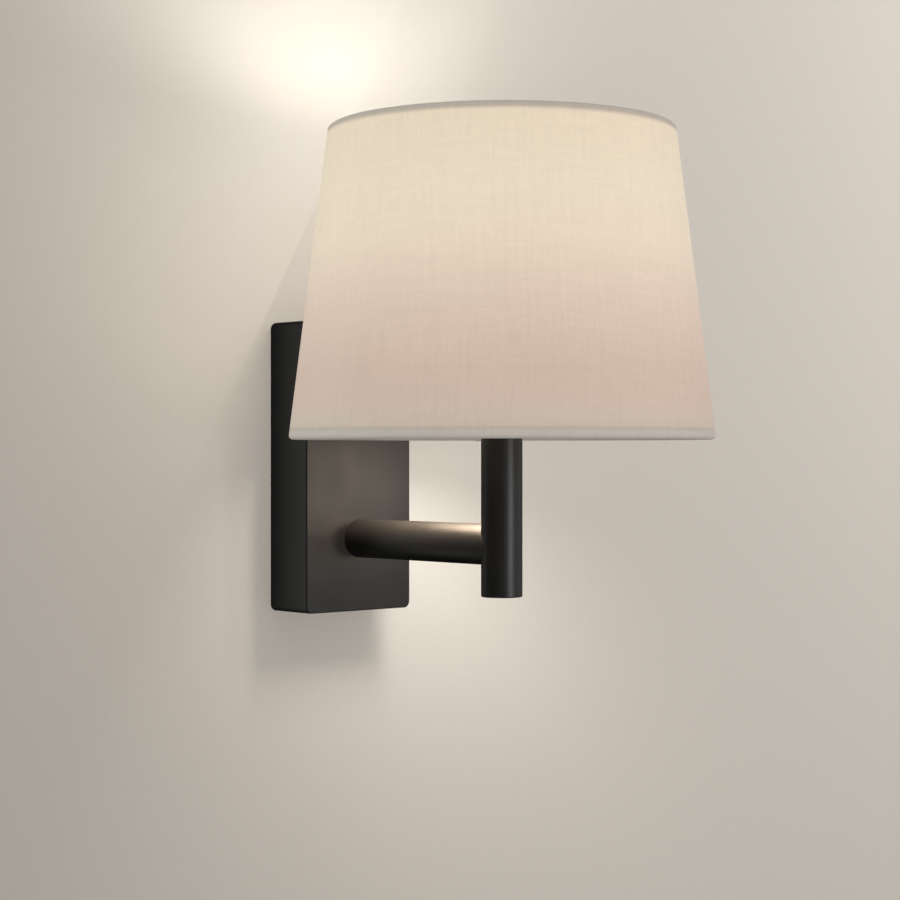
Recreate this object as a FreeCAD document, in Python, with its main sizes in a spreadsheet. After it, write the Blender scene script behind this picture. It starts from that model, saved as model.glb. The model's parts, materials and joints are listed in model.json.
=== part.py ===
import FreeCAD, Part
import Sketcher
import math
import os
import re

V = FreeCAD.Vector

# A wall light with a tapered fabric shade. X runs along the wall, Y into the wall and Z up. The
# origin is the centre of the backplate's back face, so the whole light lies at negative Y.
# Every size is in millimetres.
SIZES = {
    # Backplate: a die-cast canopy, open towards the wall.
    "plate_width": 70.0,
    "plate_height": 150.0,
    "plate_depth": 30.0,
    "plate_wall": 2.0,
    "plate_corner": 3.5,
    "plate_edge": 0.5,
    "boss_radius": 11.0,
    "boss_height": 3.0,
    "rib_thickness": 1.6,
    # Wall bracket: folded sheet with a flange at each end.
    "bracket_width": 50.0,
    "bracket_wall": 1.5,
    "bracket_flange": 12.0,
    "bracket_bend": 1.0,
    "bracket_corner": 3.0,
    "bracket_gap": 0.3,
    "slot_radius": 2.5,
    "slot_length": 12.0,
    "slot_rise": 54.0,
    "cable_hole_radius": 9.0,
    "cable_hole_rise": 33.0,
    "cable_bore_radius": 4.5,
    "grommet_lip": 2.0,
    "grommet_height": 1.8,
    # M3 hardware of the canopy and the terminal block, and the M4 earthing screw.
    "screw_radius": 1.45,
    "screw_head_radius": 2.8,
    "screw_depth": 6.5,
    "screw_length": 9.0,
    "screw_socket": 1.1,
    "screw_sink": 0.05,
    "nut_half": 2.75,
    "nut_height": 2.4,
    "block_screw_length": 4.2,
    "earth_screw_radius": 1.95,
    "earth_head_radius": 3.9,
    "earth_screw_side": 16.0,
    "earth_screw_drop": 20.0,
    "earth_screw_length": 1.3,
    "head_height": 2.0,
    # Terminal block: three poles on a base with an ear at each side.
    "block_rise": 6.5,
    "pole_pitch": 11.0,
    "pole_width": 8.0,
    "pole_length": 15.0,
    "pole_depth": 14.0,
    "block_base": 4.0,
    "block_height": 17.0,
    "ear_reach": 18.0,
    "ear_width": 9.0,
    "ear_thickness": 3.0,
    "barrel_depth": 8.0,
    "barrel_half": 2.1,
    "barrel_bore": 1.5,
    "clamp_spread": 4.2,
    "clamp_radius": 1.25,
    "clamp_length": 4.0,
    # Tubes: the horizontal arm and the vertical post that it carries.
    "arm_radius": 10.0,
    "post_radius": 10.0,
    "tube_wall": 1.5,
    "arm_drop": 37.2,
    "arm_reach": 137.0,
    "post_foot": 25.0,
    "post_rise": 59.2,
    "wire_hole_radius": 6.0,
    "cap_thickness": 2.0,
    "cap_chamfer": 0.4,
    "plug_length": 8.0,
    # M10x1 hollow fixings and what they clamp.
    "nipple_radius": 4.95,
    "nipple_bore": 3.5,
    "nipple_grip": 11.0,
    "nipple_tail": 2.2,
    "washer_radius": 8.0,
    "washer_thickness": 1.0,
    "eyelet_radius": 7.5,
    "eyelet_thickness": 0.8,
    "eyelet_tail": 16.0,
    "crimp_radius": 1.8,
    "crimp_bore": 1.3,
    "nut_flats": 14.0,
    "hex_nut_height": 3.0,
    # Lampholder with an E27 screw shell, measured up from the post's head.
    "holder_radius": 19.75,
    "holder_wall": 2.15,
    "holder_height": 56.0,
    "holder_thread_top": 42.0,
    "holder_step": 0.75,
    "cup_neck": 8.0,
    "cup_radius": 18.6,
    "cup_height": 12.0,
    "cup_dome": 13.0,
    "cup_wall": 1.8,
    "spigot_height": 6.0,
    "insert_base": 12.5,
    "insert_floor": 19.0,
    "insert_height": 38.0,
    "insert_wall": 1.1,
    "terminal_spread": 8.0,
    "shell_radius": 14.0,
    "shell_wall": 0.5,
    "shell_height": 20.5,
    "contact_width": 5.0,
    "contact_strip": 0.5,
    "contact_rise": 2.9,
    # Shade rings on the lampholder's thread.
    "seat_height": 22.0,
    "ring_radius": 29.0,
    "ring_flange": 2.0,
    "ring_neck": 22.5,
    "ring_neck_height": 6.0,
    "grip_radius": 1.6,
    "grip_count": 8.0,
    # Shade and its wire frame.
    "shade_bottom_radius": 102.5,
    "shade_top_radius": 84.0,
    "shade_height": 150.0,
    "fabric_thickness": 0.6,
    "liner_thickness": 0.4,
    "frame_wire": 1.25,
    "hem_lip": 3.0,
    "hem_gap": 0.1,
    "fitter_bore": 21.0,
    "fitter_rim": 1.5,
    "fitter_thickness": 2.0,
    "fitter_recess": 30.4,
    "spoke_radius": 1.5,
    "spoke_straight": 7.0,
    # Lamp: an LED lamp with an E27 cap, measured up from its tip.
    "lamp_length": 108.0,
    "lamp_radius": 30.0,
    "lamp_neck": 14.6,
    "lamp_wall": 1.2,
    "lamp_split": 62.0,
    "lamp_cap_top": 26.5,
    "lamp_cap_crest": 13.1,
    "lamp_cap_root": 12.2,
    "lamp_cap_bore": 11.4,
    "lamp_cap_foot": 6.0,
    "lamp_thread_pitch": 3.6,
    "lamp_turns": 4.0,
    "contact_pad_radius": 4.5,
    "contact_pad_height": 1.2,
    # Wires inside, and the clearances that the fits share.
    "wire_radius": 1.1,
    "wire_bend": 8.0,
    "wire_spread": 1.4,
    "thread_gap": 0.05,
    "push_gap": 0.05,
    "weld_gap": 0.1,
    "rest_gap": 0.1,
    "cover_gap": 0.1,
    "hole_gap": 0.3,
}

doc = FreeCAD.newDocument("fabric_shade_wall_light")
sheet = doc.addObject("Spreadsheet::Sheet", "size")
for row, (alias, value) in enumerate(SIZES.items(), 1):
    sheet.set(f"A{row}", alias)
    sheet.set(f"B{row}", str(value))
    sheet.setAlias(f"B{row}", alias)
doc.recompute()

# Places that several pieces share, worked out from the sizes.
ARM_Z = "(0 - arm_drop)"
POST_Y = "(0 - arm_reach)"
POST_BOTTOM = "(0 - arm_drop - post_foot)"
POST_TOP = "(post_rise - arm_drop)"
SEAT = f"({POST_TOP} + seat_height)"
FITTER = f"({SEAT} + rest_gap)"
SHADE_BOTTOM = f"({FITTER} - fitter_recess)"
TUBE_BORE = "(post_radius - tube_wall)"
BRACKET_TOP = "(plate_height / 2 - plate_wall - bracket_gap)"
BOSS_FACE = "(plate_depth - plate_wall - boss_height)"
WASHER_FACE = f"({BOSS_FACE} - washer_thickness)"
EYELET_FACE = f"({WASHER_FACE} - eyelet_thickness)"
NUT_FACE = f"({EYELET_FACE} - hex_nut_height)"
HOLDER_BORE = "(holder_radius - holder_wall)"
RING_BORE = "(holder_radius + thread_gap)"
FITTER_EDGE = "(ring_radius + fitter_rim)"
HEM = "(frame_wire + hem_gap + fabric_thickness)"
LEAN = "((shade_bottom_radius - shade_top_radius) / shade_height)"

OUT_OF_WALL = FreeCAD.Rotation(V(1, 0, 0), 90)
UPSIDE_DOWN = FreeCAD.Rotation(V(1, 0, 0), 180)
UPRIGHT = FreeCAD.Rotation()
pieces = []


def bound(formula):
    """The formula with each size's name pointing at its cell."""
    return re.sub(r"[a-z]\w*", lambda word: "size." + word[0] if word[0] in SIZES else word[0], formula)


def number(formula):
    """The formula's value now."""
    return float(sheet.evalExpression(formula))


def place(item, x="0", y="0", z="0", turn=UPRIGHT):
    """Puts an object at a point given by formulas."""
    item.Placement = FreeCAD.Placement(V(number(x), number(y), number(z)), turn)
    for axis, formula in zip("xyz", (x, y, z)):
        item.setExpression(f"Placement.Base.{axis}", bound(formula))
    return item


def new_body(label, **where):
    """A sub-part made of sketches and features."""
    body = doc.addObject("PartDesign::Body", label)
    body.Label = label
    body.AllowCompound = True
    pieces.append(place(body, **where))
    return body


def origin_of(body, role):
    """A plane or axis of the body's own origin."""
    return next(item for item in body.Origin.OriginFeatures if item.Role == role)


def new_sketch(body, name, plane, x="0", y="0", z="0"):
    """A sketch on one of the body's planes, moved by formulas in the sketch's own directions."""
    sketch = body.newObject("Sketcher::SketchObject", f"{body.Label}_{name}")
    sketch.AttachmentSupport = [(origin_of(body, plane), "")]
    sketch.MapMode = "FlatFace"
    for axis, formula in zip("xyz", (x, y, z)):
        sketch.setExpression(f"AttachmentOffset.Base.{axis}", bound(formula))
    return sketch


def pin(sketch, geometry, end, x, y):
    """Holds one point of the sketch at x, y."""
    for kind, formula in (("DistanceX", x), ("DistanceY", y)):
        rule = Sketcher.Constraint(kind, -1, 1, geometry, end, number(formula))
        sketch.addConstraint(rule)
        sketch.setExpression(f"Constraints[{sketch.ConstraintCount - 1}]", bound(formula))


def hold_radius(sketch, geometry, formula):
    """Holds the radius of a circle or an arc."""
    sketch.addConstraint(Sketcher.Constraint("Radius", geometry, number(formula)))
    sketch.setExpression(f"Constraints[{sketch.ConstraintCount - 1}]", bound(formula))


def circle(sketch, x, y, radius):
    """A circle held by its centre and its radius."""
    middle = V(number(x), number(y), 0)
    shape = sketch.addGeometry(Part.Circle(middle, V(0, 0, 1), number(radius)))
    pin(sketch, shape, 3, x, y)
    hold_radius(sketch, shape, radius)


def arc_between(start, end, radius):
    """The arc of under a half circle from start to end, turning left for a positive radius."""
    half = (end - start) * 0.5
    left = V(-half.y, half.x, 0).normalize()
    rise = math.sqrt(max(radius * radius - half.Length ** 2, 0.0))
    middle = start + half + left * math.copysign(rise, radius)
    first, last = (start, end) if radius > 0 else (end, start)
    angles = [math.atan2(p.y - middle.y, p.x - middle.x) for p in (first, last)]
    return Part.ArcOfCircle(Part.Circle(middle, V(0, 0, 1), abs(radius)), *angles)


def outline(sketch, corners, closed=True):
    """Lines and arcs from corner to corner. A corner (x, y, radius) starts an arc, which turns left
    for a positive radius and right for a negative one."""
    points = [V(number(corner[0]), number(corner[1]), 0) for corner in corners]
    made = []
    for index in range(len(corners) if closed else len(corners) - 1):
        start, end = points[index], points[(index + 1) % len(points)]
        radius = number(corners[index][2]) if len(corners[index]) > 2 else 0.0
        shape = arc_between(start, end, radius) if radius else Part.LineSegment(start, end)
        geometry = sketch.addGeometry(shape)
        made.append((geometry, 2, 1) if radius < 0 else (geometry, 1, 2))
        pin(sketch, geometry, made[-1][1], *corners[index][:2])
        if radius:
            formula = corners[index][2]
            hold_radius(sketch, geometry, formula if radius > 0 else f"0 - ({formula})")
    for index in range(len(made) - (0 if closed else 1)):
        near, far = made[index], made[(index + 1) % len(made)]
        sketch.addConstraint(Sketcher.Constraint("Coincident", near[0], near[2], far[0], far[1]))
    if not closed:
        pin(sketch, made[-1][0], made[-1][2], *corners[-1][:2])


def rectangle(sketch, x, y, half_width, half_height):
    """A rectangle about the point x, y."""
    outline(sketch, [
        (f"{x} - {half_width}", f"{y} - {half_height}"),
        (f"{x} + {half_width}", f"{y} - {half_height}"),
        (f"{x} + {half_width}", f"{y} + {half_height}"),
        (f"{x} - {half_width}", f"{y} + {half_height}"),
    ])


def hexagon(sketch, x, y, flats):
    """A hexagon about x, y with two corners on its own x direction."""
    reach = f"({flats} / sqrt(3))"
    corners = [(1, 0), (0.5, 0.5), (-0.5, 0.5), (-1, 0), (-0.5, -0.5), (0.5, -0.5)]
    outline(sketch, [(f"{x} + {across} * {reach}", f"{y} + {up} * {flats}") for across, up in corners])


def feature(body, kind, name, **settings):
    """A feature of the body, made now. A cut that removes nothing is an error."""
    before = body.Shape.Volume if not body.Shape.isNull() else 0.0
    made = body.newObject("PartDesign::" + kind, f"{body.Label}_{name}")
    for setting, value in settings.items():
        if setting in ("Length", "Radius", "Size", "Occurrences"):
            made.setExpression(setting, bound(value))
        else:
            setattr(made, setting, value)
    doc.recompute()
    if kind in ("Pocket", "Groove") and before - body.Shape.Volume < 1e-6 * before:
        raise ValueError(f"{made.Label} removes nothing")
    return made


def pad(body, sketch, name, length, side="One side", backwards=False):
    """Adds the sketch's area over a length."""
    return feature(body, "Pad", name, Profile=sketch, Length=length, SideType=side, Reversed=backwards)


def cut(body, sketch, name, length=None, side="One side", backwards=False):
    """Removes the sketch's area over a length, or right through."""
    if length is None:
        return feature(body, "Pocket", name, Profile=sketch, Type="ThroughAll", SideType=side)
    return feature(body, "Pocket", name, Profile=sketch, Length=length, Reversed=backwards)


def revolve(body, sketch, name, kind="Revolution"):
    """Turns the sketch's area once round the sketch's vertical axis."""
    return feature(body, kind, name, Profile=sketch, ReferenceAxis=(sketch, ["V_Axis"]), Angle=360)


def edges(shape, test):
    """The names of the edges whose middle and direction pass the test."""
    found = []
    for index, edge in enumerate(shape.Edges, 1):
        ends = [vertex.Point for vertex in edge.Vertexes]
        along = ends[-1] - ends[0]
        if along.Length > 1e-6 and test((ends[0] + ends[-1]) * 0.5, along.normalize()):
            found.append(f"Edge{index}")
    return found


def fillet(body, base, name, radius, test):
    """Rounds the edges of the last feature that pass the test."""
    return feature(body, "Fillet", name, Base=(base, edges(base.Shape, test)), Radius=radius)


def close(a, b):
    """Whether two lengths are the same."""
    return abs(a - b) < 0.01


def mirrored(body, name, plane):
    """A second copy of everything in the body, beyond one of its planes."""
    settings = {"MirrorPlane": (origin_of(body, plane), [""]), "TransformMode": "Whole shape"}
    body.Tip = feature(body, "Mirrored", name, **settings)
    doc.recompute()


def around(body, name, count, originals=None):
    """Copies round the body's own Z axis, of all of it or of some features."""
    settings = {"Axis": (origin_of(body, "Z_Axis"), [""]), "Angle": 360, "Occurrences": count}
    if originals:
        settings["Originals"] = originals
    else:
        settings["TransformMode"] = "Whole shape"
    body.Tip = feature(body, "PolarPattern", name, **settings)
    doc.recompute()


def turned(label, corners, **where):
    """A turned piece: its outline as (radius, height) corners, about its own Z axis."""
    body = new_body(label, **where)
    sketch = new_sketch(body, "profile", "XZ_Plane")
    outline(sketch, corners)
    revolve(body, sketch, "turn")
    return body


def flats(x, z, radius, first, count, sign=1):
    """Corners of an eight-sided round about x, z, whose flats lie at the radius."""
    corners = []
    for index in range(count):
        angle = math.radians(first + sign * 45 * (index + 0.5))
        reach = 1 / math.cos(math.radians(22.5))
        corners.append((f"{x} + {reach * math.cos(angle):.5f} * {radius}",
                        f"{z} + {reach * math.sin(angle):.5f} * {radius}"))
    return corners


def tube(label, bore, radius, low, high, **where):
    """A plain turned tube."""
    return turned(label, [(bore, low), (radius, low), (radius, high), (bore, high)], **where)


# Wall side.

def make_wall_bracket():
    """A folded steel bracket: slots for the wall screws, the cable hole and a flange at each end."""
    body = new_body("wall_bracket")
    side = new_sketch(body, "side", "YZ_Plane")
    web, flange = "0 - bracket_wall", "0 - bracket_flange"
    low, high = f"0 - {BRACKET_TOP}", BRACKET_TOP
    outline(side, [
        ("0", low), ("0", high), (flange, high), (flange, f"{high} - bracket_wall"),
        (web, f"{high} - bracket_wall"), (web, f"{low} + bracket_wall"),
        (flange, f"{low} + bracket_wall"), (flange, low),
    ])
    sheet_metal = pad(body, side, "fold", "bracket_width", side="Symmetric")
    top, wall, reach = number(BRACKET_TOP), number("bracket_wall"), number("bracket_flange")
    outer = fillet(body, sheet_metal, "outer_bends", "bracket_bend + bracket_wall", lambda middle, along: (
        close(abs(along.x), 1) and close(middle.y, 0) and close(abs(middle.z), top)))
    inner = fillet(body, outer, "inner_bends", "bracket_bend", lambda middle, along: (
        close(abs(along.x), 1) and close(middle.y, -wall) and close(abs(middle.z), top - wall)))
    fillet(body, inner, "flange_corners", "bracket_corner", lambda middle, along: (
        close(abs(along.z), 1) and close(middle.y, -reach)))

    holes = new_sketch(body, "holes", "XZ_Plane")
    straight = "(slot_length / 2 - slot_radius)"
    for sign in ("", "0 - "):
        middle = f"({sign}slot_rise)"
        outline(holes, [
            ("slot_radius", f"{middle} - {straight}"),
            ("slot_radius", f"{middle} + {straight}", "slot_radius"),
            ("0", f"{middle} + {straight} + slot_radius", "slot_radius"),
            ("0 - slot_radius", f"{middle} + {straight}"),
            ("0 - slot_radius", f"{middle} - {straight}", "slot_radius"),
            ("0", f"{middle} - {straight} - slot_radius", "slot_radius"),
        ])
        circle(holes, f"{sign}ear_reach", "block_rise", "screw_radius + thread_gap")
    circle(holes, "0", "cable_hole_rise", "cable_hole_radius")
    circle(holes, "earth_screw_side", "0 - earth_screw_drop", "earth_screw_radius + thread_gap")
    cut(body, holes, "hole_cut", side="Symmetric")

    nut_holes = new_sketch(body, "nut_holes", "XY_Plane")
    circle(nut_holes, "0", "0 - screw_depth", "screw_radius + hole_gap")
    cut(body, nut_holes, "nut_hole_cut", side="Symmetric")


def make_bracket_nuts():
    """Square weld nuts inside the flanges, for the canopy's screws."""
    body = new_body("bracket_nuts")
    seat = new_sketch(body, "seat", "XY_Plane", z=f"{BRACKET_TOP} - bracket_wall")
    rectangle(seat, "0", "0 - screw_depth", "nut_half", "nut_half")
    circle(seat, "0", "0 - screw_depth", "screw_radius + thread_gap")
    pad(body, seat, "nut_pad", "nut_height", backwards=True)
    mirrored(body, "pair", "XY_Plane")


def make_cable_grommet():
    """A rubber grommet that lines the cable hole."""
    neck = "cable_hole_radius - push_gap"
    lip = "cable_hole_radius + grommet_lip"
    turned("cable_grommet", [
        ("cable_bore_radius", "push_gap"), (neck, "push_gap"), (neck, "bracket_wall"),
        (lip, "bracket_wall"), (f"{lip} - grommet_height / 2", "bracket_wall + grommet_height"),
        ("cable_bore_radius", "bracket_wall + grommet_height"),
    ], z="cable_hole_rise", turn=OUT_OF_WALL)


def make_canopy():
    """The die-cast backplate: a shell with a boss and ribs behind the arm, and two screw holes."""
    body = new_body("canopy")
    front = new_sketch(body, "front", "XZ_Plane")
    rectangle(front, "0", "0", "plate_width / 2", "plate_height / 2")
    block = pad(body, front, "block", "plate_depth")
    corners = fillet(body, block, "corners", "plate_corner", lambda middle, along: close(abs(along.y), 1))
    depth = number("plate_depth")
    rim = edges(corners.Shape, lambda middle, along: close(middle.y, -depth))
    feature(body, "Chamfer", "front_edge", Base=(corners, rim), Size="plate_edge")

    hollow = new_sketch(body, "hollow", "XZ_Plane")
    inner_width, inner_height = "(plate_width / 2 - plate_wall)", "(plate_height / 2 - plate_wall)"
    rectangle(hollow, "0", "0", inner_width, inner_height)
    hollow_cut = cut(body, hollow, "hollow_cut", "plate_depth - plate_wall", backwards=True)
    width, height = number(inner_width), number(inner_height)
    fillet(body, hollow_cut, "inner_corners", "plate_corner - plate_wall", lambda middle, along: (
        close(abs(along.y), 1) and close(abs(middle.x), width) and close(abs(middle.z), height)))

    ribs = new_sketch(body, "ribs", "XZ_Plane", z=BOSS_FACE)
    rectangle(ribs, "0", ARM_Z, "(plate_width / 2 - plate_wall / 2)", "rib_thickness / 2")
    pad(body, ribs, "rib", "boss_height + plate_wall / 2")
    boss = new_sketch(body, "boss", "XZ_Plane", z=BOSS_FACE)
    circle(boss, "0", ARM_Z, "boss_radius")
    pad(body, boss, "boss_pad", "boss_height + plate_wall / 2")
    hole = new_sketch(body, "arm_hole", "XZ_Plane")
    circle(hole, "0", ARM_Z, "nipple_radius + hole_gap")
    cut(body, hole, "arm_hole_cut", side="Symmetric")

    sink = new_sketch(body, "sink", "YZ_Plane", x="0 - screw_depth")
    face, bore, mouth = "plate_height / 2", "(screw_radius + hole_gap)", "(screw_head_radius + cover_gap)"
    outline(sink, [
        ("0", f"{face} + plate_wall"), (mouth, f"{face} + plate_wall"), (mouth, f"{face} - screw_sink"),
        (bore, f"{face} - screw_sink - {mouth} + {bore}"), (bore, f"{face} - 2 * plate_wall"),
        ("0", f"{face} - 2 * plate_wall"),
    ])
    top_hole = revolve(body, sink, "sink_cut", "Groove")
    plane = (origin_of(body, "XY_Plane"), [""])
    body.Tip = feature(body, "Mirrored", "sink_pair", Originals=[top_hole], MirrorPlane=plane)


def make_canopy_screws():
    """Flush countersunk screws in the canopy's top and bottom, with a hexagon socket."""
    body = new_body("canopy_screws")
    profile = new_sketch(body, "profile", "YZ_Plane", x="0 - screw_depth")
    face = "(plate_height / 2 - screw_sink)"
    outline(profile, [
        ("0", face), ("screw_head_radius", face), ("screw_radius", f"{face} - screw_head_radius + screw_radius"),
        ("screw_radius", f"{face} - screw_length"), ("0", f"{face} - screw_length"),
    ])
    revolve(body, profile, "turn")
    socket = new_sketch(body, "socket", "XY_Plane", z=face)
    hexagon(socket, "0", "0 - screw_depth", "screw_socket")
    cut(body, socket, "socket_cut", "screw_socket")
    mirrored(body, "pair", "XY_Plane")


def pan_screw(label, radius, head, tip, seat, **where):
    """A pan-head screw from its tip to its head, with a slot across the head."""
    body = turned(label, [
        ("0", tip), (radius, tip), (radius, seat), (head, seat),
        (f"{head} - cap_chamfer", f"{seat} + head_height"), ("0", f"{seat} + head_height"),
    ], **where)
    slot = new_sketch(body, "slot", "XY_Plane", z=f"{seat} + head_height")
    rectangle(slot, "0", "0", head, "contact_strip")
    cut(body, slot, "slot_cut", "head_height / 2")
    return body


def make_earth_screw():
    """The bracket's earthing screw."""
    pan_screw("earth_screw", "earth_screw_radius", "earth_head_radius",
              "bracket_wall - earth_screw_length", "bracket_wall", x="earth_screw_side",
              z="0 - earth_screw_drop", turn=OUT_OF_WALL)


def make_terminal_block():
    """Three poles on one base, with a square barrel channel and two screw wells in each."""
    body = new_body("terminal_block")
    ears = new_sketch(body, "ears", "XZ_Plane", z="bracket_wall")
    rectangle(ears, "0", "block_rise", "(ear_reach + ear_width / 2)", "ear_width / 2")
    for sign in ("", "0 - "):
        circle(ears, f"{sign}ear_reach", "block_rise", "screw_radius + hole_gap")
    pad(body, ears, "ear_pad", "ear_thickness")
    base = new_sketch(body, "base", "XZ_Plane", z="bracket_wall")
    rectangle(base, "0", "block_rise", "(pole_pitch + pole_width / 2)", "block_height / 2")
    pad(body, base, "base_pad", "block_base")
    poles = new_sketch(body, "poles", "XZ_Plane", z="bracket_wall")
    wells = new_sketch(body, "wells", "XZ_Plane", z="bracket_wall + barrel_depth")
    channels = new_sketch(body, "channels", "XY_Plane", z="block_rise")
    for pole in (-1, 0, 1):
        middle = f"{pole} * pole_pitch"
        rectangle(poles, middle, "block_rise", "pole_width / 2", "pole_length / 2")
        rectangle(channels, middle, "0 - bracket_wall - barrel_depth", "(barrel_half + push_gap)",
                  "(barrel_half + push_gap)")
        for side in (-1, 1):
            circle(wells, middle, f"block_rise + {side} * clamp_spread", "clamp_radius + hole_gap")
    pad(body, poles, "pole_pad", "pole_depth")
    cut(body, channels, "channel_cut", side="Symmetric")
    cut(body, wells, "well_cut", "pole_depth", backwards=True)


def make_terminal_block_screws():
    """The two screws through the block's ears."""
    body = pan_screw("terminal_block_screws", "screw_radius", "screw_head_radius",
                     "bracket_wall + ear_thickness - block_screw_length", "bracket_wall + ear_thickness",
                     z="block_rise", turn=OUT_OF_WALL)
    for item in body.Group:
        if item.TypeId == "Sketcher::SketchObject":
            item.setExpression("AttachmentOffset.Base.x", bound("ear_reach"))
    doc.recompute()
    mirrored(body, "pair", "YZ_Plane")


def make_terminal_barrels():
    """The square brass cages, each with a wire channel and two tapped clamp holes."""
    body = new_body("terminal_barrels", y="0 - bracket_wall - barrel_depth", z="block_rise")
    ends = new_sketch(body, "ends", "XY_Plane")
    wells = new_sketch(body, "wells", "XZ_Plane")
    for pole in (-1, 0, 1):
        middle = f"{pole} * pole_pitch"
        rectangle(ends, middle, "0", "barrel_half", "barrel_half")
        rectangle(ends, middle, "0", "barrel_bore", "barrel_bore")
        for side in (-1, 1):
            circle(wells, middle, f"{side} * clamp_spread", "clamp_radius + thread_gap")
    pad(body, ends, "barrel_pad", "pole_length", side="Symmetric")
    cut(body, wells, "clamp_holes", "pole_depth", backwards=True)


def make_terminal_screws():
    """The slotted clamp screws of the barrels, tightened on the wires."""
    tip = "0 - bracket_wall - barrel_depth - wire_radius - push_gap"
    body = new_body("terminal_screws", y=tip, z="block_rise")
    shanks = new_sketch(body, "shanks", "XZ_Plane")
    slots = new_sketch(body, "slots", "XZ_Plane", z="clamp_length")
    for pole in (-1, 0, 1):
        for side in (-1, 1):
            where = (f"{pole} * pole_pitch", f"{side} * clamp_spread")
            circle(shanks, *where, "clamp_radius")
            rectangle(slots, *where, "clamp_radius * 1.1", "contact_strip / 2")
    pad(body, shanks, "shank_pad", "clamp_length")
    cut(body, slots, "slot_cut", "clamp_radius")


# Arm and post.

def cylinder(name, radius, height, **where):
    """A plain cylinder for the tubes and the eyelet."""
    made = doc.addObject("Part::Cylinder", name)
    made.setExpression("Radius", bound(radius))
    made.setExpression("Height", bound(height))
    return place(made, **where)


def boolean(kind, name, first, second):
    """One solid cut by or joined with another."""
    made = doc.addObject(f"Part::{kind}", name)
    made.Label = name
    made.Base, made.Tool = first, second
    return made


def make_arm_tube():
    """The arm: a tube from the canopy's front, coped to the round of the post."""
    start = {"y": "0 - plate_depth", "z": ARM_Z, "turn": OUT_OF_WALL}
    outside = cylinder("arm_outside", "arm_radius", "arm_reach - plate_depth", **start)
    bore = cylinder("arm_bore", "arm_radius - tube_wall", "arm_reach - plate_depth", **start)
    saddle = cylinder("arm_saddle", "post_radius + weld_gap", "4 * arm_radius",
                      y=POST_Y, z=f"{ARM_Z} - 2 * arm_radius")
    pieces.append(boolean("Cut", "arm_tube", boolean("Cut", "arm_blank", outside, bore), saddle))


def make_arm_end_plug():
    """The threaded plug welded into the arm's wall end."""
    rim = "arm_radius - tube_wall - push_gap"
    turned("arm_end_plug", [
        ("nipple_radius + thread_gap", "plate_depth"), (rim, "plate_depth"),
        (rim, "plate_depth + nipple_grip"),
        ("nipple_radius + thread_gap", "plate_depth + nipple_grip"),
    ], z=ARM_Z, turn=OUT_OF_WALL)


def make_arm_fixing():
    """The hollow screw through the canopy with its lock washer, earthing eyelet and nut."""
    tube("arm_nipple", "nipple_bore", "nipple_radius", f"{NUT_FACE} - nipple_tail",
         "plate_depth + nipple_grip", z=ARM_Z, turn=OUT_OF_WALL)

    washer = tube("arm_lock_washer", "nipple_radius + hole_gap", "washer_radius", WASHER_FACE,
                  BOSS_FACE, z=ARM_Z, turn=OUT_OF_WALL)
    gap = new_sketch(washer, "tooth_gap", "XY_Plane", z=BOSS_FACE)
    outline(gap, [("washer_radius - washer_thickness", "0"), ("washer_radius * 1.1", "0 - washer_thickness"),
                  ("washer_radius * 1.1", "washer_thickness")])
    gap_cut = cut(washer, gap, "tooth_gap_cut", "2 * washer_thickness")
    around(washer, "teeth", "10", [gap_cut])

    nut = new_body("arm_nut", z=ARM_Z, turn=OUT_OF_WALL)
    flats = new_sketch(nut, "flats", "XY_Plane", z=NUT_FACE)
    hexagon(flats, "0", "0", "nut_flats")
    circle(flats, "0", "0", "nipple_radius + thread_gap")
    pad(nut, flats, "nut_pad", "hex_nut_height")


def make_arm_earth_eyelet():
    """A crimp eyelet: a ring under the nut and a crimped tail that points up."""
    ring = cylinder("eyelet_ring", "eyelet_radius", "eyelet_thickness",
                    y=f"0 - {EYELET_FACE}", z=ARM_Z, turn=OUT_OF_WALL)
    tail = doc.addObject("Part::Box", "eyelet_tail")
    tail.setExpression("Length", bound("2 * crimp_radius"))
    tail.setExpression("Width", bound("eyelet_thickness"))
    tail.setExpression("Height", bound("eyelet_tail - crimp_radius"))
    place(tail, x="0 - crimp_radius", y=f"0 - {WASHER_FACE}", z=ARM_Z)
    crimp = cylinder("eyelet_crimp", "crimp_radius", "eyelet_tail / 2",
                     y=f"0 - {WASHER_FACE} + crimp_radius", z=f"{ARM_Z} + eyelet_tail / 2")
    crimp_hole = cylinder("crimp_hole", "crimp_bore", "eyelet_tail / 2",
                          y=f"0 - {WASHER_FACE} + crimp_radius", z=f"{ARM_Z} + eyelet_tail / 2")
    stud_hole = cylinder("eyelet_hole", "nipple_radius + hole_gap", "2 * crimp_radius + eyelet_thickness",
                         y="0", z=ARM_Z, turn=OUT_OF_WALL)
    stud_hole.setExpression("Height", bound("plate_depth"))
    flat = boolean("Fuse", "eyelet_flat", ring, tail)
    blank = boolean("Fuse", "eyelet_blank", flat, crimp)
    pieces.append(boolean("Cut", "arm_earth_eyelet", boolean("Cut", "eyelet_bored", blank, crimp_hole), stud_hole))


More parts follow.
